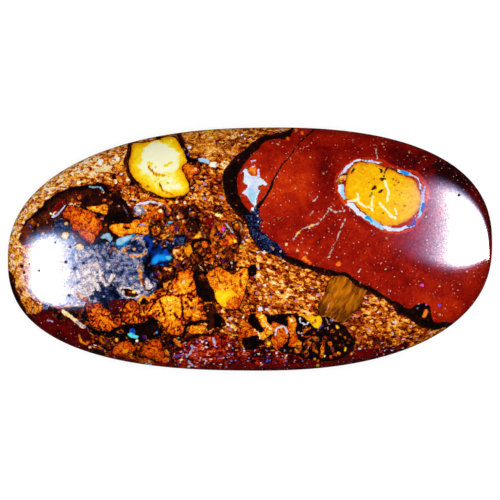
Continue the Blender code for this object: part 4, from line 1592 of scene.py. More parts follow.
@dataclass(frozen=True)
class RedNodule(Feature):
    """The big red jasper nodule on the right, the black ironstone band round its foot, and its veins."""

    band: Points = (
        (4.4, 12.3), (3.9, 11.3), (3.0, 10.9), (1.5, 10.5), (0.4, 10.0), (-0.4, 9.2), (-1.4, 8.6),
        (-2.0, 7.7), (-2.4, 7.2), (-2.6, 5.9), (-1.9, 4.0), (-0.4, 2.4), (-0.2, 1.8), (0.6, 0.3), (2.3, -0.7),
        (3.0, -0.9), (4.8, -1.9), (5.4, -1.9), (6.8, -2.4), (8.0, -2.5), (8.8, -2.5), (10.2, -3.5),
        (10.8, -3.8), (11.8, -4.6), (12.3, -4.7), (13.3, -5.5), (13.7, -6.0), (14.2, -6.1), (15.3, -6.8),
        (15.5, -7.1), (16.2, -7.5), (17.6, -7.6), (18.2, -7.3), (20.0, -7.6), (25.0, -4.0), (25.0, 8.0),
        (20.0, 11.0), (12.0, 13.5),
    )
    outline: Points = (
        (4.5, 12.3), (4.2, 11.4), (3.9, 10.7), (3.4, 10.2), (2.0, 10.1), (0.9, 9.3), (-0.1, 8.4), (-1.0, 6.9),
        (-1.1, 5.2), (0.0, 3.4), (0.4, 2.6), (0.6, 1.8), (1.2, 1.1), (2.0, 0.6), (3.2, -0.5), (3.9, -0.7),
        (5.3, -1.3), (8.0, -2.0), (9.0, -2.2), (10.3, -3.1), (11.2, -3.5), (13.1, -4.8), (13.7, -4.9),
        (14.7, -5.5), (15.2, -5.3), (15.5, -5.1), (16.7, -5.2), (16.9, -6.4), (17.2, -6.8), (18.0, -6.8),
        (18.8, -6.9), (20.0, -6.5), (24.0, -3.0), (25.0, 6.0), (20.0, 10.0), (12.0, 13.0),
    )
    wedge: Points = (
        (0.0, 3.4), (0.7, 4.3), (0.9, 4.1), (0.8, 3.1), (1.1, 2.7), (0.9, 2.3), (0.9, 1.6), (1.4, 1.4),
        (1.7, 1.0), (2.0, 0.7), (2.5, 0.5), (3.1, -0.3), (3.5, -0.5), (2.6, -0.6), (0.9, 0.2), (-0.1, 2.2),
        (-0.4, 3.0),
    )
    opal: Points = (
        (-0.7, 7.2), (-0.3, 7.5), (-0.2, 7.1), (0.0, 6.8), (0.4, 6.7), (0.7, 6.8), (1.6, 6.0), (1.2, 5.9),
        (0.7, 5.7), (0.7, 5.5), (0.9, 5.4), (0.7, 4.9), (0.6, 4.1), (0.3, 4.2), (-0.2, 4.9), (-0.7, 5.3),
        (-0.2, 5.7), (-0.3, 6.0), (-0.6, 6.2), (-0.5, 7.0),
    )
    veins: Sequence[Points] = (
        (
            (9.0, 4.2), (8.7, 4.0), (8.7, 3.7), (8.8, 3.5), (8.0, 3.5), (7.3, 3.8), (7.2, 3.5), (6.6, 2.8),
            (5.7, 2.0), (4.8, 1.8), (4.2, 1.2), (4.0, 0.7),
        ),
        ((8.9, 2.7), (8.6, 2.2), (8.4, 1.7), (7.4, -0.5), (7.1, -0.8)),
        ((5.8, 4.4), (6.2, 4.7)),
        ((5.5, 3.2), (5.8, 3.6)),
        ((10.2, -2.2), (10.4, -1.8)),
        ((11.7, 9.2), (11.9, 8.4)),
    )
    vein_width: float = 0.1
    specks: Specks = (
        (12.3, 9.7, 0.12), (14.8, 9.0, 0.09), (16.2, 8.6, 0.1), (15.7, 8.0, 0.08), (17.6, -6.1, 0.13),
        (6.8, 7.0, 0.1), (3.8, 8.4, 0.1), (2.6, 9.7, 0.1), (2.1, 9.8, 0.08), (5.6, 8.6, 0.09),
        (11.8, -3.6, 0.08), (17.6, -3.5, 0.09), (12.9, -4.2, 0.08), (13.4, -2.6, 0.09), (12.6, -1.9, 0.08),
        (13.8, -0.7, 0.09), (12.7, 1.0, 0.09), (11.5, 1.4, 0.08), (7.3, 1.9, 0.08), (6.3, 0.6, 0.08),
        (5.3, -0.3, 0.09), (20.2, -2.1, 0.09),
    )

    def marks(self) -> Sequence[Patch]:
        """The band, the nodule over it, the opal at its left, and its veins and specks."""
        crack = (
            (6.3, 11.3, 0.16), (5.5, 10.7, 0.18), (4.7, 9.9, 0.15), (3.9, 9.0, 0.12), (3.4, 8.3, 0.14),
            (2.9, 7.7, 0.15), (2.5, 7.0, 0.18), (2.1, 6.3, 0.22), (1.9, 5.7, 0.28), (1.6, 5.1, 0.28),
            (1.2, 4.5, 0.3), (0.8, 4.0, 0.4),
        )
        return (
            Patch(IRON, self.band, -0.1, edge=0.25, waver=1.2),
            Patch(JASPER, self.outline, 0.0, waver=1.0),
            Patch(POTCH, self.wedge, -0.68, edge=-0.8, waver=1.2),
            Stroke(IRON, crack, 0.0),
            Patch(OPAL, self.opal, hue=Hue.MILK, tone=-0.04, rim=0.06),
            Stroke(OPAL, ((0.2, 4.6), (0.3, 5.0), (0.1, 5.4)), hue=Hue.ICE, width=0.3),
            Patch(OPAL, ((0.1, 3.9), (0.4, 3.9), (0.4, 3.7), (0.2, 3.5)), hue=Hue.MILK),
            Stroke(OPAL, ((0.8, 6.8), (0.8, 7.3)), hue=Hue.LILAC, width=0.18),
            Stroke(OPAL, ((0.0, 8.1), (0.5, 8.2)), hue=Hue.LILAC, width=0.14),
            Stroke(OPAL, ((0.2, 8.0), (0.3, 7.6)), hue=Hue.LILAC, width=0.14),
            Stroke(IRON, ((0.8, 5.7), (1.1, 5.8)), width=0.13),
            Dots(JASPER, ((0.3, 7.3, 0.32),), 0.75),
            Stroke(IRON, ((1.0, 2.6), (1.6, 2.5), (3.0, 2.8)), 0.3, width=0.1),
            Dots(JASPER, ((4.3, 11.0, 0.15), (4.9, 10.8, 0.13), (3.5, 10.3, 0.13), (8.2, -1.4, 0.2)), 0.8),
            Dots(CHALK, ((3.3, 0.4, 0.15), (4.5, -0.1, 0.12)), 0.1),
            Stroke(JASPER, ((5.0, -0.8), (5.5, -1.2)), 0.85, width=0.3),
            Stroke(JASPER, ((16.4, -5.8), (16.2, -6.2)), 0.85, width=0.28),
            Dots(POTCH, ((15.7, -5.1, 0.1), (15.6, -5.5, 0.1)), 0.3),
            *(
                Stroke(OPAL, vein, -0.2, hue=Hue.BLUSH, width=self.vein_width, waver=1.5)
                for vein in self.veins
            ),
            Dots(OCHRE, ((4.5, 1.5, 0.12), (5.7, 2.1, 0.12)), 0.4),
            Dots(CHALK, self.specks, -0.35, waver=0.5),
            Dots(OPAL, ((16.0, -3.4, 0.14), (16.4, -5.2, 0.11)), hue=Hue.PINK),
            Dots(OPAL, ((17.6, -5.2, 0.1),), hue=Hue.BLUE),
        )

    def shades(self) -> Sequence[Shade]:
        """Orange-red on the left and along the foot, deep maroon above, violet-black past the eye, and
        painted shade on the right rim.
        """
        places = (
            (0.2, 6.0, 1.2, 3.0, 0.28), (3.0, 5.6, 3.2, 2.6, 0.36), (5.3, 6.3, 1.6, 1.4, 0.15),
            (7.0, 6.9, 1.1, 2.0, -0.34), (8.0, 9.4, 4.0, 0.9, -0.14), (14.8, 8.2, 3.2, 1.1, -0.42, -22),
            # (19.6, 6.6) is partly the jasper's own maroon-black and partly a painted dark reflection on the
            # upper right rim; (22.0, 2.0) is a painted shade line along the right rim
            (17.6, 6.9, 1.0, 0.9, -0.3), (13.5, 10.0, 4.0, 0.7, -0.08, -14), (19.6, 6.6, 3.4, 1.1, -0.7, -42),
            (22.0, 2.0, 0.8, 3.5, -0.5), (5.5, -0.4, 3.4, 0.9, 0.25, -22), (14.5, -4.4, 3.6, 0.8, 0.12, -12),
            (18.5, -4.8, 2.4, 1.6, 0.12, 30), (6.5, 1.4, 2.2, 1.2, -0.1),
        )
        return tuple(Shade(JASPER, *place) for place in places)


@dataclass(frozen=True)
class GoldenEye(Feature):
    """The golden eye in the red nodule: yellow ochre jasper ringed with white opal, in a bright red halo."""

    halo: Points = (
        (7.8, 6.2), (8.3, 7.5), (9.3, 8.2), (10.5, 8.6), (12.2, 8.3), (13.2, 7.9), (15.7, 7.0), (16.4, 6.5),
        (16.8, 5.8), (16.7, 4.2), (16.3, 3.2), (15.2, 1.8), (14.0, 1.4), (12.0, 1.6), (10.5, 2.6), (8.3, 4.8),
        (7.8, 5.5),
    )
    ring: Points = (
        (8.2, 6.8), (9.1, 7.6), (9.5, 8.0), (10.9, 8.3), (12.3, 8.1), (13.0, 7.7), (14.5, 7.2), (15.8, 6.4),
        (16.4, 5.2), (16.2, 3.7), (15.8, 3.0), (14.8, 1.9), (14.2, 1.6), (13.6, 1.6), (12.4, 1.8),
        (11.9, 2.1), (10.6, 2.9), (8.6, 4.7), (8.0, 5.8),
    )
    gold: Points = (
        (9.7, 7.7), (10.3, 8.0), (11.7, 8.0), (12.9, 7.4), (14.4, 6.8), (15.5, 6.0), (15.9, 4.9), (15.9, 4.2),
        (15.1, 3.0), (14.1, 2.4), (12.9, 2.1), (11.7, 2.5), (10.8, 3.1), (9.9, 4.0), (8.9, 4.9), (8.8, 5.4),
        (9.0, 6.9),
    )
    opal: Sequence[tuple[Hue, float, Points]] = (
        (Hue.MILK, 0.0,
            ((8.6, 7.0, 0.14), (8.9, 7.4, 0.3), (9.3, 7.7, 0.26), (9.8, 8.1, 0.12), (10.4, 8.2, 0.13))
        ),
        (Hue.MILK, -0.1,
            ((10.4, 8.2, 0.13), (10.8, 8.2, 0.11), (11.2, 8.2, 0.16), (11.6, 8.1, 0.12), (12.2, 8.0, 0.1))
        ),
        (Hue.MILK, 0.0,
            ((13.8, 7.3, 0.2), (14.2, 7.2, 0.35), (14.8, 6.9, 0.2), (15.2, 6.6, 0.14), (15.7, 6.2, 0.13))
        ),
        (Hue.SKY, 0.05, ((14.2, 7.2, 0.26), (14.5, 7.0, 0.24))),
        (Hue.MILK, 0.0, ((15.7, 6.2, 0.13), (15.9, 5.6, 0.13), (16.0, 5.1, 0.13), (16.1, 4.6, 0.2))),
        (Hue.LILAC, 0.0,
            ((16.2, 5.8, 0.2), (16.2, 5.5, 0.2), (16.1, 5.1, 0.14), (16.1, 4.6, 0.3), (16.1, 4.1, 0.4))
        ),
        (Hue.ICE, -0.05, ((16.1, 4.1, 0.4), (15.9, 3.6, 0.42), (15.6, 3.1, 0.34), (15.3, 2.8, 0.3))),
        (Hue.LILAC, -0.1, ((15.3, 2.8, 0.3), (15.1, 2.4, 0.42), (14.6, 2.1, 0.36))),
        (Hue.MILK, 0.0,
            ((14.6, 2.1, 0.36), (14.0, 1.8, 0.3), (13.3, 1.8, 0.28), (12.7, 1.9, 0.34), (12.1, 2.0, 0.34))
        ),
        (Hue.ICE, 0.0, ((12.1, 2.0, 0.34), (11.5, 2.4, 0.42), (10.9, 2.8, 0.4), (10.4, 3.1, 0.34))),
        (Hue.MILK, 0.0, ((10.4, 3.1, 0.34), (9.9, 3.5, 0.32), (9.5, 4.0, 0.4), (9.2, 4.2, 0.3))),
        (Hue.ICE, 0.0, ((8.8, 4.8, 0.24), (8.5, 5.2, 0.42), (8.4, 5.6, 0.6), (8.5, 5.8, 0.4))),
        (Hue.MILK, 0.0,
            ((8.2, 5.3, 0.16), (8.2, 5.7, 0.18), (8.1, 6.1, 0.14), (8.2, 6.5, 0.1), (8.5, 7.0, 0.12))
        ),
        (Hue.INDIGO, 0.3, ((16.2, 4.1, 0.1), (16.1, 3.8, 0.12), (16.0, 3.5, 0.1))),
        (Hue.INDIGO, 0.4, ((15.3, 2.6, 0.12), (15.0, 2.4, 0.16), (14.6, 2.2, 0.12))),
        (Hue.SKY, -0.1, ((10.8, 3.0, 0.1), (11.2, 2.6, 0.1))),
    )
    brown: Points = ((8.1, 6.1), (8.3, 6.7), (8.7, 7.0), (8.9, 7.0), (8.9, 6.6), (8.3, 6.0))
    cracks: Sequence[Points] = (
        ((12.4, 6.8), (12.4, 6.6), (12.3, 6.3)),
        ((12.1, 6.5), (12.6, 6.5)),
        ((12.1, 7.5), (12.3, 7.2)),
        ((12.9, 7.5), (12.6, 7.0)),
        ((13.2, 7.3), (13.6, 7.2)),
        ((11.6, 5.8), (11.3, 5.6)),
        ((11.3, 5.2), (11.2, 4.8)),
        ((12.2, 5.5), (11.9, 5.3)),
        ((9.5, 7.1), (9.8, 7.3)),
    )
    streaks: Sequence[Points] = (
        ((12.6, 6.3), (12.6, 5.9), (12.8, 5.4), (12.9, 4.6)),
        ((9.9, 5.1), (10.2, 4.2), (11.1, 3.7), (11.3, 3.5)),
        ((9.2, 4.5), (9.8, 4.4)),
        ((11.5, 4.8), (11.3, 4.4), (11.3, 3.9)),
        ((12.1, 4.4), (12.8, 3.4), (13.3, 3.0)),
        ((13.5, 3.9), (13.6, 3.4), (13.5, 2.9)),
    )
    freckles: Specks = (
        (9.6, 7.2, 0.08), (11.5, 6.5, 0.08), (13.3, 6.5, 0.08), (13.8, 6.3, 0.1), (14.4, 4.1, 0.09),
        (12.4, 3.3, 0.08), (11.5, 3.6, 0.08), (13.4, 6.0, 0.07), (14.6, 5.9, 0.07), (13.9, 5.1, 0.07),
        (13.6, 5.5, 0.08), (11.0, 6.2, 0.07), (11.8, 6.9, 0.06), (13.6, 3.2, 0.08), (13.1, 4.1, 0.06),
    )

    def marks(self) -> Sequence[Patch]:
        """The halo, the gold, the opal between them, then the cracks and streaks."""
        flare = ((14.9, 7.2), (15.5, 6.8), (16.1, 6.1), (16.4, 5.3), (16.4, 4.6))
        return (
            Patch(JASPER, self.halo, 0.1, edge=-0.1, waver=0.8),
            Stroke(JASPER, (*self.ring, self.ring[0]), 0.48, width=0.34, waver=0.7),
            Stroke(JASPER, flare, 0.6, width=0.45),
            Stroke(JASPER, (*self.gold, self.gold[0]), 0.4, width=0.4, waver=2.0),
            Patch(OCHRE, self.gold, 0.34, edge=-0.2, depth=0.18, waver=0.9),
            *(Stroke(OPAL, path, tone, hue=hue, waver=1.2) for hue, tone, path in self.opal),
            Patch(RUST, self.brown, 0.4, rim=0.07),
            Stroke(JASPER, ((13.4, 2.1), (14.0, 2.1), (15.1, 2.7), (15.5, 3.1)), 0.3, width=0.2, waver=2.5),
            *(Stroke(CHALK, line, 0.7, width=0.18, waver=1.5) for line in self.streaks),
            *(Stroke(IRON, line, 0.3, width=0.19, waver=2.0) for line in self.cracks),
            Dots(RUST, self.freckles, 0.1),
        )

    def shades(self) -> Sequence[Shade]:
        """The gold is deepest at its top left."""
        places = ((10.3, 6.9, 1.4, 1.0, -0.08), (13.6, 5.2, 1.6, 1.2, 0.08))
        return tuple(Shade(OCHRE, *place) for place in places)


@dataclass(frozen=True)
class KhakiChunk(Feature):
    """The brown-yellow chunk under the black band."""

    outline: Points = (
        (7.4, -3.0), (7.9, -2.6), (8.6, -2.5), (9.2, -2.8), (9.6, -3.2), (10.2, -3.6), (10.8, -3.9),
        (10.6, -4.4), (10.1, -5.6), (9.5, -5.9), (9.3, -6.2), (8.1, -6.8), (6.7, -6.2), (6.3, -5.6),
        (6.4, -5.0), (7.1, -3.8),
    )

    def marks(self) -> Sequence[Patch]:
        """The chunk and its one pale line."""
        return (
            Patch(KHAKI, self.outline, -0.46, edge=-0.7, rim=0.08),
            Stroke(CHALK, ((7.3, -5.1), (7.0, -5.9)), -0.3, width=0.11),
        )

    def shades(self) -> Sequence[Shade]:
        """Lighter at the top and browner at the foot."""
        places = ((8.8, -3.4, 1.4, 0.9, 0.14), (8.2, -6.0, 1.4, 0.6, -0.25))
        return tuple(Shade(KHAKI, *place) for place in places)


@dataclass(frozen=True)
class LowerNodule(Feature):
    """The black nodule at the lower middle, full of orange and gold curls."""

    base: Points = (
        (0.2, -6.1), (1.0, -6.0), (3.0, -6.0), (4.2, -5.9), (5.0, -6.3), (6.8, -6.3), (7.5, -6.4),
        (8.0, -6.8), (8.9, -7.0), (9.5, -8.1), (9.9, -8.5), (9.7, -9.3), (9.2, -9.9), (8.3, -10.3),
        (7.0, -10.5), (5.5, -10.3), (4.0, -9.8), (2.5, -9.7), (1.0, -9.4), (-0.3, -9.4), (-0.8, -9.1),
        (-1.1, -8.5), (-0.6, -7.3), (-0.1, -6.8),
    )
    gold_hook: Points = (
        (0.6, -6.1), (1.1, -6.0), (1.5, -6.3), (1.6, -6.8), (2.0, -7.3), (2.0, -7.8), (1.2, -8.5),
        (0.7, -7.9), (1.2, -7.9), (1.4, -7.6), (1.1, -7.3), (0.7, -6.5),
    )
    red_claw: Points = (
        (-1.1, -8.3), (-0.6, -7.2), (-0.2, -6.8), (0.3, -7.4), (1.0, -8.0), (0.3, -8.1), (-0.1, -8.2),
        (-0.4, -8.2), (-0.8, -8.3), (-0.8, -8.8), (-0.5, -9.2), (-0.6, -9.3), (-0.9, -8.9),
    )
    red_lobe: Points = (
        (2.0, -7.0), (2.6, -6.7), (3.6, -7.3), (3.6, -8.1), (3.3, -8.5), (2.6, -9.3), (2.1, -8.8),
        (2.0, -8.3), (2.2, -7.7),
    )
    column: Points = (
        (3.5, -6.3), (3.8, -6.4), (4.1, -6.0), (4.4, -6.9), (4.2, -7.4), (4.5, -8.4), (4.8, -8.6),
        (4.6, -9.0), (3.6, -8.9), (3.8, -7.9), (3.6, -7.4), (3.6, -6.9),
    )
    yellow: Points = (
        (5.2, -6.4), (5.6, -6.2), (6.1, -6.3), (6.6, -6.2), (6.8, -6.7), (6.6, -7.2), (6.2, -7.3),
        (5.5, -6.7),
    )
    black_cap: Points = ((2.1, -6.3), (3.3, -6.2), (3.5, -7.1), (3.0, -7.0), (2.4, -6.8), (1.9, -6.7))

    def marks(self) -> Sequence[Patch]:
        """The black ground, the big curls, then the small bits between them."""
        return (*self._curls(), *self._bits())

    def _curls(self) -> Sequence[Patch]:
        """The ground, the curls and the pale arcs on them."""
        arc = ((2.3, -8.0), (2.3, -7.6), (2.6, -7.3), (3.1, -7.2), (3.5, -7.5), (3.5, -7.8))
        return (
            Patch(IRON, self.base, -0.05, waver=1.5),
            Patch(LIMONITE, self.gold_hook, 0.7, edge=0.4),
            Stroke(CHALK, ((1.2, -6.8), (1.9, -7.5)), 0.4, width=0.14),
            Patch(LIMONITE, self.red_claw, -0.05, edge=-0.25),
            Patch(LIMONITE, self.red_lobe, 0.02, edge=-0.25),
            Stroke(OPAL, arc, -0.1, hue=Hue.MILK, width=0.18),
            Patch(IRON, self.black_cap, -0.3),
            Patch(LIMONITE, self.column, 0.38, edge=-0.05),
            Dots(CHALK, ((3.9, -6.6, 0.14),), 0.5),
            Patch(OCHRE, self.yellow, 0.55, edge=0.2),
            Dots(RUST, ((6.1, -6.7, 0.15),), 0.2),
            Stroke(OCHRE, ((4.5, -5.9), (5.4, -6.4)), 0.1, width=0.2),
            Stroke(OPAL, ((4.7, -6.4), (4.8, -6.8), (5.2, -7.0), (5.5, -6.8)), hue=Hue.MILK, width=0.14),
            Stroke(OPAL, ((6.3, -7.5), (6.9, -7.0)), -0.3, hue=Hue.INDIGO, width=0.14),
            Dots(IRON, ((-0.5, -8.6, 0.25), (0.5, -8.5, 0.42)), -0.3),
            Stroke(IRON, ((0.1, -6.2), (0.3, -6.8), (0.6, -7.3), (1.0, -7.6)), -0.2, width=0.3),
            Dots(IRON, ((1.1, -7.6, 0.22),), -0.2),
            Stroke(CHALK, ((0.5, -7.6), (0.8, -7.8), (1.0, -8.4)), 0.5, width=0.12),
            Dots(OPAL, ((1.0, -5.5, 0.24), (1.6, -5.5, 0.12)), hue=Hue.MILK),
        )

    def _bits(self) -> Sequence[Patch]:
        """The small bits, from left to right."""
        return (
            Dots(RUST, ((1.8, -8.7, 0.36), (7.6, -7.7, 0.2), (6.2, -8.4, 0.28), (5.3, -9.3, 0.14)), 0.25),
            Dots(
                RUST, ((4.4, -9.3, 0.4), (5.6, -9.0, 0.3), (5.2, -9.6, 0.25), (6.2, -9.3, 0.2)), 0.3,
                waver=3.0,
            ),
            Dots(
                RUST, ((7.1, -8.3, 0.2), (7.9, -8.3, 0.15), (8.8, -8.1, 0.14), (7.9, -9.5, 0.14)), 0.1,
                waver=2.0,
            ),
            Dots(
                RUST, ((5.1, -7.3, 0.2), (5.9, -7.7, 0.16), (8.4, -7.9, 0.12), (9.0, -8.6, 0.14)), 0.2,
                waver=2.0,
            ),
            Dots(CHALK, ((4.5, -7.7, 0.09), (4.8, -8.0, 0.1), (6.3, -7.5, 0.08), (8.0, -7.3, 0.1)), -0.2),
            Dots(OCHRE, ((1.8, -8.7, 0.16), (8.1, -7.3, 0.14)), 0.5),
            Stroke(LIMONITE, ((2.0, -9.4), (2.8, -9.6)), -0.1, width=0.15),
            Stroke(LIMONITE, ((1.0, -9.1), (1.9, -9.0)), -0.3, width=0.15),
            Dots(POTCH, ((3.2, -9.4, 0.12), (7.7, -6.7, 0.16), (4.8, -7.8, 0.1), (7.2, -7.4, 0.11)), 0.25),
            Dots(CHALK, ((2.5, -9.8, 0.1), (7.0, -9.9, 0.13)), 0.7),
            Dots(OPAL, ((1.6, -10.4, 0.14),), hue=Hue.BLUE),
            Stroke(LIMONITE, ((5.0, -7.7), (5.6, -7.3)), -0.1),
            Stroke(CHALK, ((7.1, -6.5), (7.4, -7.0)), -0.5, width=0.14),
            Stroke(LIMONITE, ((5.0, -8.9), (5.9, -8.1)), -0.1, width=0.14),
            Stroke(LIMONITE, ((5.1, -8.1), (5.9, -8.2)), -0.2, width=0.14),
            Stroke(LIMONITE, ((5.9, -9.5), (6.0, -8.9)), -0.2, width=0.14),
            Dots(
                LIMONITE, ((7.5, -8.8, 0.2), (8.0, -9.8, 0.14), (7.6, -10.0, 0.18), (6.3, -10.4, 0.14)), -0.1
            ),
            Dots(RUST, ((7.7, -9.2, 0.16), (8.6, -8.9, 0.12)), 0.1),
            Stroke(LIMONITE, ((6.9, -8.6), (6.7, -9.9)), -0.05, width=0.32),
            Stroke(OCHRE, ((8.8, -9.2), (8.8, -9.4)), 0.5, width=0.2),
            Dots(LIMONITE, ((8.3, -9.7, 0.14), (6.0, -10.2, 0.14), (9.5, -9.8, 0.14)), 0.3),
            Dots(OPAL, ((6.2, -10.8, 0.12),), hue=Hue.LIME),
            Dots(IRON, ((2.9, -9.2, 0.2), (5.0, -9.3, 0.2)), -0.2),
        )

    def shades(self) -> Sequence[Shade]:
        """The curls redden towards their feet."""
        places = ((4.2, -8.6, 0.7, 0.6, -0.34), (-0.6, -7.9, 0.6, 0.8, -0.12), (2.6, -8.8, 0.6, 0.5, -0.14))
        return tuple(Shade(LIMONITE, *place) for place in places)


@dataclass(frozen=True)
class BrecciaPatch(Feature):
    """The patch of broken red jasper low in the middle, with lavender lines where opal healed it."""

    outline: Points = (
        (-6.2, -8.6), (-5.2, -8.3), (-2.8, -8.0), (-1.8, -8.3), (-1.6, -9.0), (-2.2, -9.7), (-3.0, -10.3),
        (-4.0, -10.6), (-4.8, -11.2), (-6.0, -11.3), (-6.8, -10.6), (-6.6, -9.5),
    )

    def marks(self) -> Sequence[Patch]:
        """The patch and the opal lines."""
        return (
            Patch(BRECCIA, self.outline, 0.0, waver=3.0),
            Stroke(OPAL, ((-5.5, -8.9), (-5.4, -9.6), (-5.8, -10.1), (-5.2, -10.8)), -0.15, hue=Hue.LILAC),
            Stroke(OPAL, ((-3.4, -8.3), (-3.3, -8.8)), -0.1, hue=Hue.LILAC, width=0.2),
            Dots(IRON, ((-5.7, -10.2, 0.14),), -0.3),
            Dots(BRECCIA, ((-6.4, -10.3, 0.16),), 0.3),
            Dots(OPAL, ((-6.8, -10.0, 0.13),), -0.1, hue=Hue.INDIGO),
            Dots(CHALK, ((-5.6, -10.8, 0.12),), 0.3),
        )


@dataclass(frozen=True)
class Pits(Feature):
    """The open pits in the polish, which show as dark specks in the shine."""

    holes: Specks = (
        (-18.1, 0.6, 0.11), (-16.7, 0.2, 0.11), (-17.1, -1.2, 0.14), (-19.6, -2.0, 0.13), (-16.3, -1.8, 0.12),
        (-15.5, -1.3, 0.12), (-21.2, -1.6, 0.14), (-21.0, -2.2, 0.13), (-20.5, -1.4, 0.1),
        (-16.8, -4.3, 0.12), (19.4, 5.0, 0.12),
    )

    def marks(self) -> Sequence[Patch]:
        """The pits."""
        return (Dots(PIT, self.holes, -0.2, waver=0.0),)


@dataclass(frozen=True)
class Cabochon:
    """The stone itself: a domed oval with a tapered flank and a flat lapped back.

    Attributes:
        length, width, thickness: Its size, in metres.
        outline_power: The superellipse power of its oval.
        egg, droop, rise, tilt: How the oval is fuller at one end, bent at both, and turned, in radians.
        girdle_share: The girdle's height, as a share of the thickness.
        crown_power, shoulder_power: The powers of the dome's section.
        taper, flank_power: How far the flank draws in under the girdle, and how roundly.
        cells: The grid of mesh cells over the dome, along and across.
        crowding: How much closer the rows lie towards the girdle.
        flank_rows: The mesh rows under the girdle.
        sharp: The angle between faces from which their edge is shaded sharp, in radians.
    """

    length: float = 45.0 * MM
    width: float = 22.6 * MM
    thickness: float = 7.0 * MM
    outline_power: float = 2.38
    egg: float = 0.028
    droop: float = 0.082
    rise: float = 0.042
    tilt: float = math.radians(0.44)
    girdle_share: float = 0.30
    crown_power: float = 2.30
    shoulder_power: float = 1.75
    taper: float = 0.062
    flank_power: float = 1.8
    cells: tuple[int, int] = (408, 204)
    crowding: float = 0.12
    flank_rows: int = 7
    sharp: float = math.radians(40.0)

    @property
    def girdle(self) -> float:
        """The girdle's height, in metres."""
        return self.girdle_share * self.thickness

    def edge(self, angles: np.ndarray) -> np.ndarray:
        """The outline's points at the given angles, in metres, fitted to the length and the width."""
        every = np.linspace(0.0, 2.0 * math.pi, 7200, endpoint=False)
        rows = []
        for turn in (every, angles):
            cosine, sine = np.cos(turn), np.sin(turn)
            along = np.sign(cosine) * np.abs(cosine) ** (2.0 / self.outline_power)
            across = np.sign(sine) * np.abs(sine) ** (2.0 / self.outline_power) * (1.0 + self.egg * along)
            across = across + np.where(along > 0.0, self.rise, -self.droop) * along**2
            x, y = along * self.length / 2.0, across * self.width / 2.0
            level, steep = math.cos(self.tilt), math.sin(self.tilt)
            rows.append(np.stack([x * level - y * steep, x * steep + y * level], -1))
        low, high = rows[0].min(0), rows[0].max(0)
        return (rows[1] - (low + high) / 2.0) * ((self.length, self.width) / (high - low))

    def points(self) -> np.ndarray:
        """The mesh's points, in metres: the dome's grid row by row, then the flank's rows downwards."""
        wide, deep = self.cells
        a, b = np.meshgrid(np.linspace(-1.0, 1.0, wide + 1), np.linspace(-1.0, 1.0, deep + 1))
        a, b = a.ravel(), b.ravel()
        reach = np.maximum(np.abs(a), np.abs(b))
        steep = np.abs(b) > np.abs(a)
        with np.errstate(divide="ignore", invalid="ignore"):
            flat_turn = np.where(a >= 0.0, 0.0, math.pi) + math.pi / 4.0 * b / a
            steep_turn = np.where(b >= 0.0, 1.0, -1.0) * math.pi / 2.0 - math.pi / 4.0 * a / b
        turn = np.where(reach < 1e-9, 0.0, np.where(steep, steep_turn, flat_turn))
        power = (1.0 + self.crowding) / self.crowding
        share = (1.0 + self.crowding) * reach - self.crowding * reach**power
        rise = np.maximum(1.0 - share**self.crown_power, 0.0) ** (1.0 / self.shoulder_power)
        heights = self.girdle + (self.thickness - self.girdle) * rise
        top = np.column_stack([self.edge(turn) * share[:, None], heights])
        girdle = top[self.border()]
        rows = [top]
        for row in range(1, self.flank_rows + 1):
            down = row / self.flank_rows
            drawn_in = 1.0 - self.taper * down**self.flank_power
            rows.append(girdle * (drawn_in, drawn_in, 1.0 - down))
        return np.vstack(rows)

    def border(self) -> np.ndarray:
        """The numbers of the grid's outermost points, anticlockwise seen from above."""
        wide, deep = self.cells
        number = np.arange((wide + 1) * (deep + 1)).reshape(deep + 1, wide + 1)
        return np.concatenate([number[0, :-1], number[:-1, -1], number[-1, :0:-1], number[:0:-1, 0]])

    def faces(self) -> list[tuple[int, ...]]:
        """The mesh's faces: the dome's, the flank's, and one for the back."""
        wide, deep = self.cells
        number = np.arange((wide + 1) * (deep + 1)).reshape(deep + 1, wide + 1)
        dome = np.stack([number[:-1, :-1], number[:-1, 1:], number[1:, 1:], number[1:, :-1]], -1)
        upper = self.border()
        made = [tuple(face) for face in dome.reshape(-1, 4).tolist()]
        first = number.size
        for _ in range(self.flank_rows):
            lower = np.arange(first, first + len(upper))
            first += len(upper)
            strip = np.stack([upper, lower, np.roll(lower, -1), np.roll(upper, -1)], -1)
            made += [tuple(face) for face in strip.tolist()]
            upper = lower
        made.append(tuple(upper[::-1].tolist()))
        return made

    def build(self, features: Sequence[Feature], eye_height: float) -> bpy.types.Object:
        """Makes the stone and draws its face.

        Args:
            features: The features of the face, from the lowest up.
            eye_height: How far above the girdle the face is seen from, in metres.

        Returns:
            The stone's object.
        """
        points = self.points()
        mesh = bpy.data.meshes.new("boulder_opal_stone")
        mesh.from_pydata(points.tolist(), [], self.faces())
        mesh.update()
        seen = points[:, :2] * (eye_height / (eye_height - (points[:, 2:] - self.girdle))) / MM
        face = Face(seen)
        for feature in features:
            for mark in feature.marks():
                face.draw(mark)
            LOG.info("drew %s", type(feature).__name__)
        for feature in features:
            for shade in feature.shades():
                face.cloud(shade)
        face.write(mesh)
        mesh.materials.append(PolishedFace().material())
        mesh.materials.append(LappedBack().material())
        mesh.polygons[-1].material_index = 1
        mesh.shade_smooth()
        mesh.set_sharp_from_angle(angle=self.sharp)
        stone = bpy.data.objects.new("boulder_opal_stone", mesh)
        bpy.context.scene.collection.objects.link(stone)
        return stone


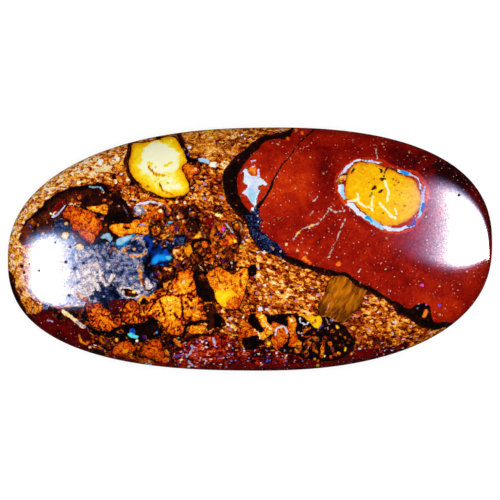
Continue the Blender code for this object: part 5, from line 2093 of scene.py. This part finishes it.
@dataclass(frozen=True)
class SoftBox:
    """A soft box: a bright pane in the middle of a large diffuser that dims towards its edges.

    Attributes:
        name: Its name.
        towards: The direction from the stone towards it.
        turn: How far it is turned about that direction, in degrees.
        across, upward: From where to where the bright pane reaches, seen from the stone at a distance of one.
        fade: How far its light spreads on past the pane's low, high, lower and upper side.
        pinch: How much narrower the pane grows away from the middle of its height.
        glow: How bright the pane is.
        tint: The colour of the diffuser's faint outer part.
        distance: How far off it stands, in metres.
    """

    name: str
    towards: tuple[float, float, float]
    turn: float
    across: tuple[float, float]
    upward: tuple[float, float]
    fade: tuple[float, float, float, float]
    pinch: float = 0.0
    glow: float = 110.0
    tint: str = "#8CB4FF"
    distance: float = 0.5

    def build(self, above: Vector) -> bpy.types.Object:
        """Makes the light, which shows in the polish and lights nothing else.

        Args:
            above: The point on the stone that it faces.

        Returns:
            The light's object.
        """
        towards = Vector(self.towards).normalized()
        level = Vector((-towards.y, towards.x, 0.0)).normalized()
        rise = towards.cross(level)
        angle = math.radians(self.turn)
        along = level * math.cos(angle) + rise * math.sin(angle)
        up = rise * math.cos(angle) - level * math.sin(angle)
        low = (self.across[0] - self.fade[0], self.upward[0] - self.fade[2])
        high = (self.across[1] + self.fade[1], self.upward[1] + self.fade[3])
        lamp = bpy.data.lights.new(self.name, "AREA")
        lamp.shape = "RECTANGLE"
        lamp.size = (high[0] - low[0]) * self.distance
        lamp.size_y = (high[1] - low[1]) * self.distance
        lamp.energy = lamp.size * lamp.size_y * math.pi
        self._grade(lamp, low, high)
        box = bpy.data.objects.new(self.name, lamp)
        box.matrix_world = Matrix((along, up, towards)).transposed().to_4x4()
        middle = towards + along * (low[0] + high[0]) / 2.0 + up * (low[1] + high[1]) / 2.0
        box.location = above + middle * self.distance
        box.visible_camera = False
        box.visible_diffuse = False
        bpy.context.scene.collection.objects.link(box)
        return box

    def _grade(self, lamp: bpy.types.Light, low: tuple[float, float], high: tuple[float, float]) -> None:
        """Makes the pane bright and lets the light die away round it.

        Args:
            lamp: The light.
            low, high: The corners of the whole diffuser.
        """
        lamp.use_nodes = True
        tree = lamp.node_tree
        emission = next(node for node in tree.nodes if node.type == "EMISSION")
        place = add(tree, "ShaderNodeNewGeometry").outputs["Parametric"]
        sides = add(tree, "ShaderNodeSeparateXYZ", inputs={0: place}).outputs
        upward = add(tree, "ShaderNodeMapRange", inputs={0: sides[1], 3: low[1], 4: high[1]}).outputs[0]
        centre = sum(self.across) / 2.0
        spread = {0: sides[0], 3: low[0] - centre, 4: high[0] - centre}
        across = add(tree, "ShaderNodeMapRange", inputs=spread).outputs[0]
        squared = add(tree, "ShaderNodeMath", {"operation": "MULTIPLY"}, {0: upward, 1: upward}).outputs[0]
        curved = {0: squared, 1: self.pinch, 2: 1.0}
        narrow = add(tree, "ShaderNodeMath", {"operation": "MULTIPLY_ADD"}, curved).outputs[0]
        pinched = add(tree, "ShaderNodeMath", {"operation": "MULTIPLY"}, {0: across, 1: narrow}).outputs[0]
        half = (self.across[1] - self.across[0]) / 2.0
        parts = []
        for value, inner, fade in (
            (pinched, -half, -self.fade[0]),
            (pinched, half, self.fade[1]),
            (upward, self.upward[0], -self.fade[2]),
            (upward, self.upward[1], self.fade[3]),
        ):
            ends = {0: value, 1: inner, 2: inner + fade}
            past = add(tree, "ShaderNodeMapRange", inputs=ends).outputs[0]
            part = add(tree, "ShaderNodeMath", {"operation": "MULTIPLY"}, {0: past, 1: past}).outputs[0]
            parts.append(part)
        total = parts[0]
        for part in parts[1:]:
            total = add(tree, "ShaderNodeMath", inputs={0: total, 1: part}).outputs[0]
        away = add(tree, "ShaderNodeMath", {"operation": "SQRT"}, {0: total}).outputs[0]
        falling = {"operation": "SUBTRACT", "use_clamp": True}
        left = add(tree, "ShaderNodeMath", falling, {0: 1.0, 1: away}).outputs[0]
        share = add(tree, "ShaderNodeMath", {"operation": "POWER"}, {0: left, 1: 4.0}).outputs[0]
        strength = add(tree, "ShaderNodeMath", {"operation": "MULTIPLY"}, {0: share, 1: self.glow}).outputs[0]
        tints = ((0.45, self.tint), (0.84, "#FFFFFF"))
        colour = add(tree, "ShaderNodeValToRGB", inputs={"Fac": left}, stops=tints).outputs[0]
        tree.links.new(strength, emission.inputs["Strength"])
        tree.links.new(colour, emission.inputs["Color"])


# The left box hangs free, and the right one stands on the table, so its shine runs down to the stone's edge
SOFT_BOXES = (
    SoftBox(
        name="left_soft_box", towards=(-0.621, -0.073, 0.781), turn=-12.0,
        across=(-0.115, 0.34), upward=(-0.115, -0.10), fade=(0.30, 0.30, 0.74, 0.49),
    ),
    SoftBox(
        name="right_soft_box", towards=(0.714, 0.101, 0.693), turn=-16.0,
        across=(-0.20, 0.28), upward=(-1.75, -0.115), fade=(0.16, 0.75, 0.1, 0.75), pinch=1.7,
    ),
)


@dataclass(frozen=True)
class Studio:
    """The photographer's table: a pale floor, a big soft light overhead and two soft boxes for the shine.

    Attributes:
        lens, sensor: The camera's lens and sensor width, in millimetres.
        frame_width: How much the picture takes in at the girdle, in metres.
        middle: Where the middle of the picture falls, in metres.
        floor: The floor's size, in metres.
        gap: How far the floor lies under the stone's flat back, so that the two don't coincide, in metres.
        overhead, overhead_height: The overhead light's size and height, in metres.
        overhead_power: Its power, in watts.
        room_light: How bright the rest of the room is.
        card, card_glow: The floor's colour, and how much it glows.
    """

    lens: float = 300.0
    sensor: float = 36.0
    frame_width: float = 46.449 * MM
    middle: tuple[float, float] = (0.0, -0.0883 * MM)
    floor: float = 4.0
    gap: float = 0.02 * MM
    overhead: float = 2.2
    overhead_height: float = 0.5
    overhead_power: float = 18.6
    room_light: float = 0.02
    card: str = "#8C8C8C"
    card_glow: float = 0.8

    @property
    def eye_height(self) -> float:
        """How far above the girdle the camera hangs, in metres."""
        return self.frame_width * self.lens / self.sensor

    def build(self, girdle: float, top: float) -> None:
        """Makes the floor, the lights and the camera.

        Args:
            girdle: The height of the stone's girdle, in metres.
            top: The stone's height, in metres.
        """
        self._camera(girdle)
        self._floor()
        self._world()
        lamp = bpy.data.lights.new("overhead", "AREA")
        lamp.size = self.overhead
        lamp.energy = self.overhead_power
        light = bpy.data.objects.new("overhead", lamp)
        light.location = (0.0, 0.0, self.overhead_height)
        light.visible_glossy = False
        light.visible_camera = False
        bpy.context.scene.collection.objects.link(light)
        above = Vector((0.0, 0.0, top))
        for box in SOFT_BOXES:
            box.build(above)

    def _camera(self, girdle: float) -> None:
        """Hangs the camera straight above the stone."""
        data = bpy.data.cameras.new("camera")
        data.lens = self.lens
        data.sensor_width = self.sensor
        camera = bpy.data.objects.new("camera", data)
        camera.location = (*self.middle, girdle + self.eye_height)
        bpy.context.scene.collection.objects.link(camera)
        bpy.context.scene.camera = camera

    def _floor(self) -> None:
        """Lays the floor, which glows a little so that it stays white, and keeps its light off the stone."""
        half, low = self.floor / 2.0, -self.gap
        corners = [(-half, -half, low), (half, -half, low), (half, half, low), (-half, half, low)]
        mesh = bpy.data.meshes.new("floor")
        mesh.from_pydata(corners, [], [(0, 1, 2, 3)])
        paper = bpy.data.materials.new("white_card")
        paper.use_nodes = True
        tree = paper.node_tree
        shader = tree.nodes["Principled BSDF"]
        shader.inputs["Base Color"].default_value = linear(self.card)
        shader.inputs["Roughness"].default_value = 0.9
        shader.inputs["Specular IOR Level"].default_value = 0.0
        shader.inputs["Emission Color"].default_value = linear("#FFFFFF")
        shader.inputs["Emission Strength"].default_value = self.card_glow
        mesh.materials.append(paper)
        floor = bpy.data.objects.new("floor", mesh)
        floor.visible_glossy = False
        floor.visible_diffuse = False
        floor.visible_shadow = False
        bpy.context.scene.collection.objects.link(floor)

    def _world(self) -> None:
        """Makes the room white to the camera and nearly dark to the stone."""
        world = bpy.data.worlds.new("room")
        world.use_nodes = True
        tree = world.node_tree
        tree.nodes.clear()
        path = add(tree, "ShaderNodeLightPath")
        ends = {0: path.outputs["Is Camera Ray"], 3: self.room_light}
        seen = add(tree, "ShaderNodeMapRange", inputs=ends).outputs[0]
        light = add(tree, "ShaderNodeBackground", inputs={"Strength": seen})
        light.inputs["Color"].default_value = linear("#FFFFFF")
        add(tree, "ShaderNodeOutputWorld", inputs={"Surface": light.outputs[0]})
        bpy.context.scene.world = world


def main() -> None:
    """Loads the frame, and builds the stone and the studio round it."""
    logging.basicConfig(level=logging.INFO, format="%(name)s: %(message)s")
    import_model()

    studio = Studio()
    cabochon = Cabochon()
    features = (
        SandField(),
        SlateField(),
        LowerLeft(),
        BrecciaPatch(),
        LeftNodule(),
        RustCentre(),
        BlueOpal(),
        BrainStones(),
        GreyArc(),
        YellowKernel(),
        OpalBar(),
        GoldCentre(),
        RedNodule(),
        GoldenEye(),
        KhakiChunk(),
        LowerNodule(),
        Pits(),
    )
    stone = cabochon.build(features, studio.eye_height)
    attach(stone, BODY)
    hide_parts(CAD_NODE)
    LOG.info("built %s with %d faces", stone.name, len(stone.data.polygons))

    studio.build(cabochon.girdle, cabochon.thickness)
    bpy.context.scene.view_settings.view_transform = "Standard"
    LOG.info("set up the studio")


if __name__ == "__main__":
    main()
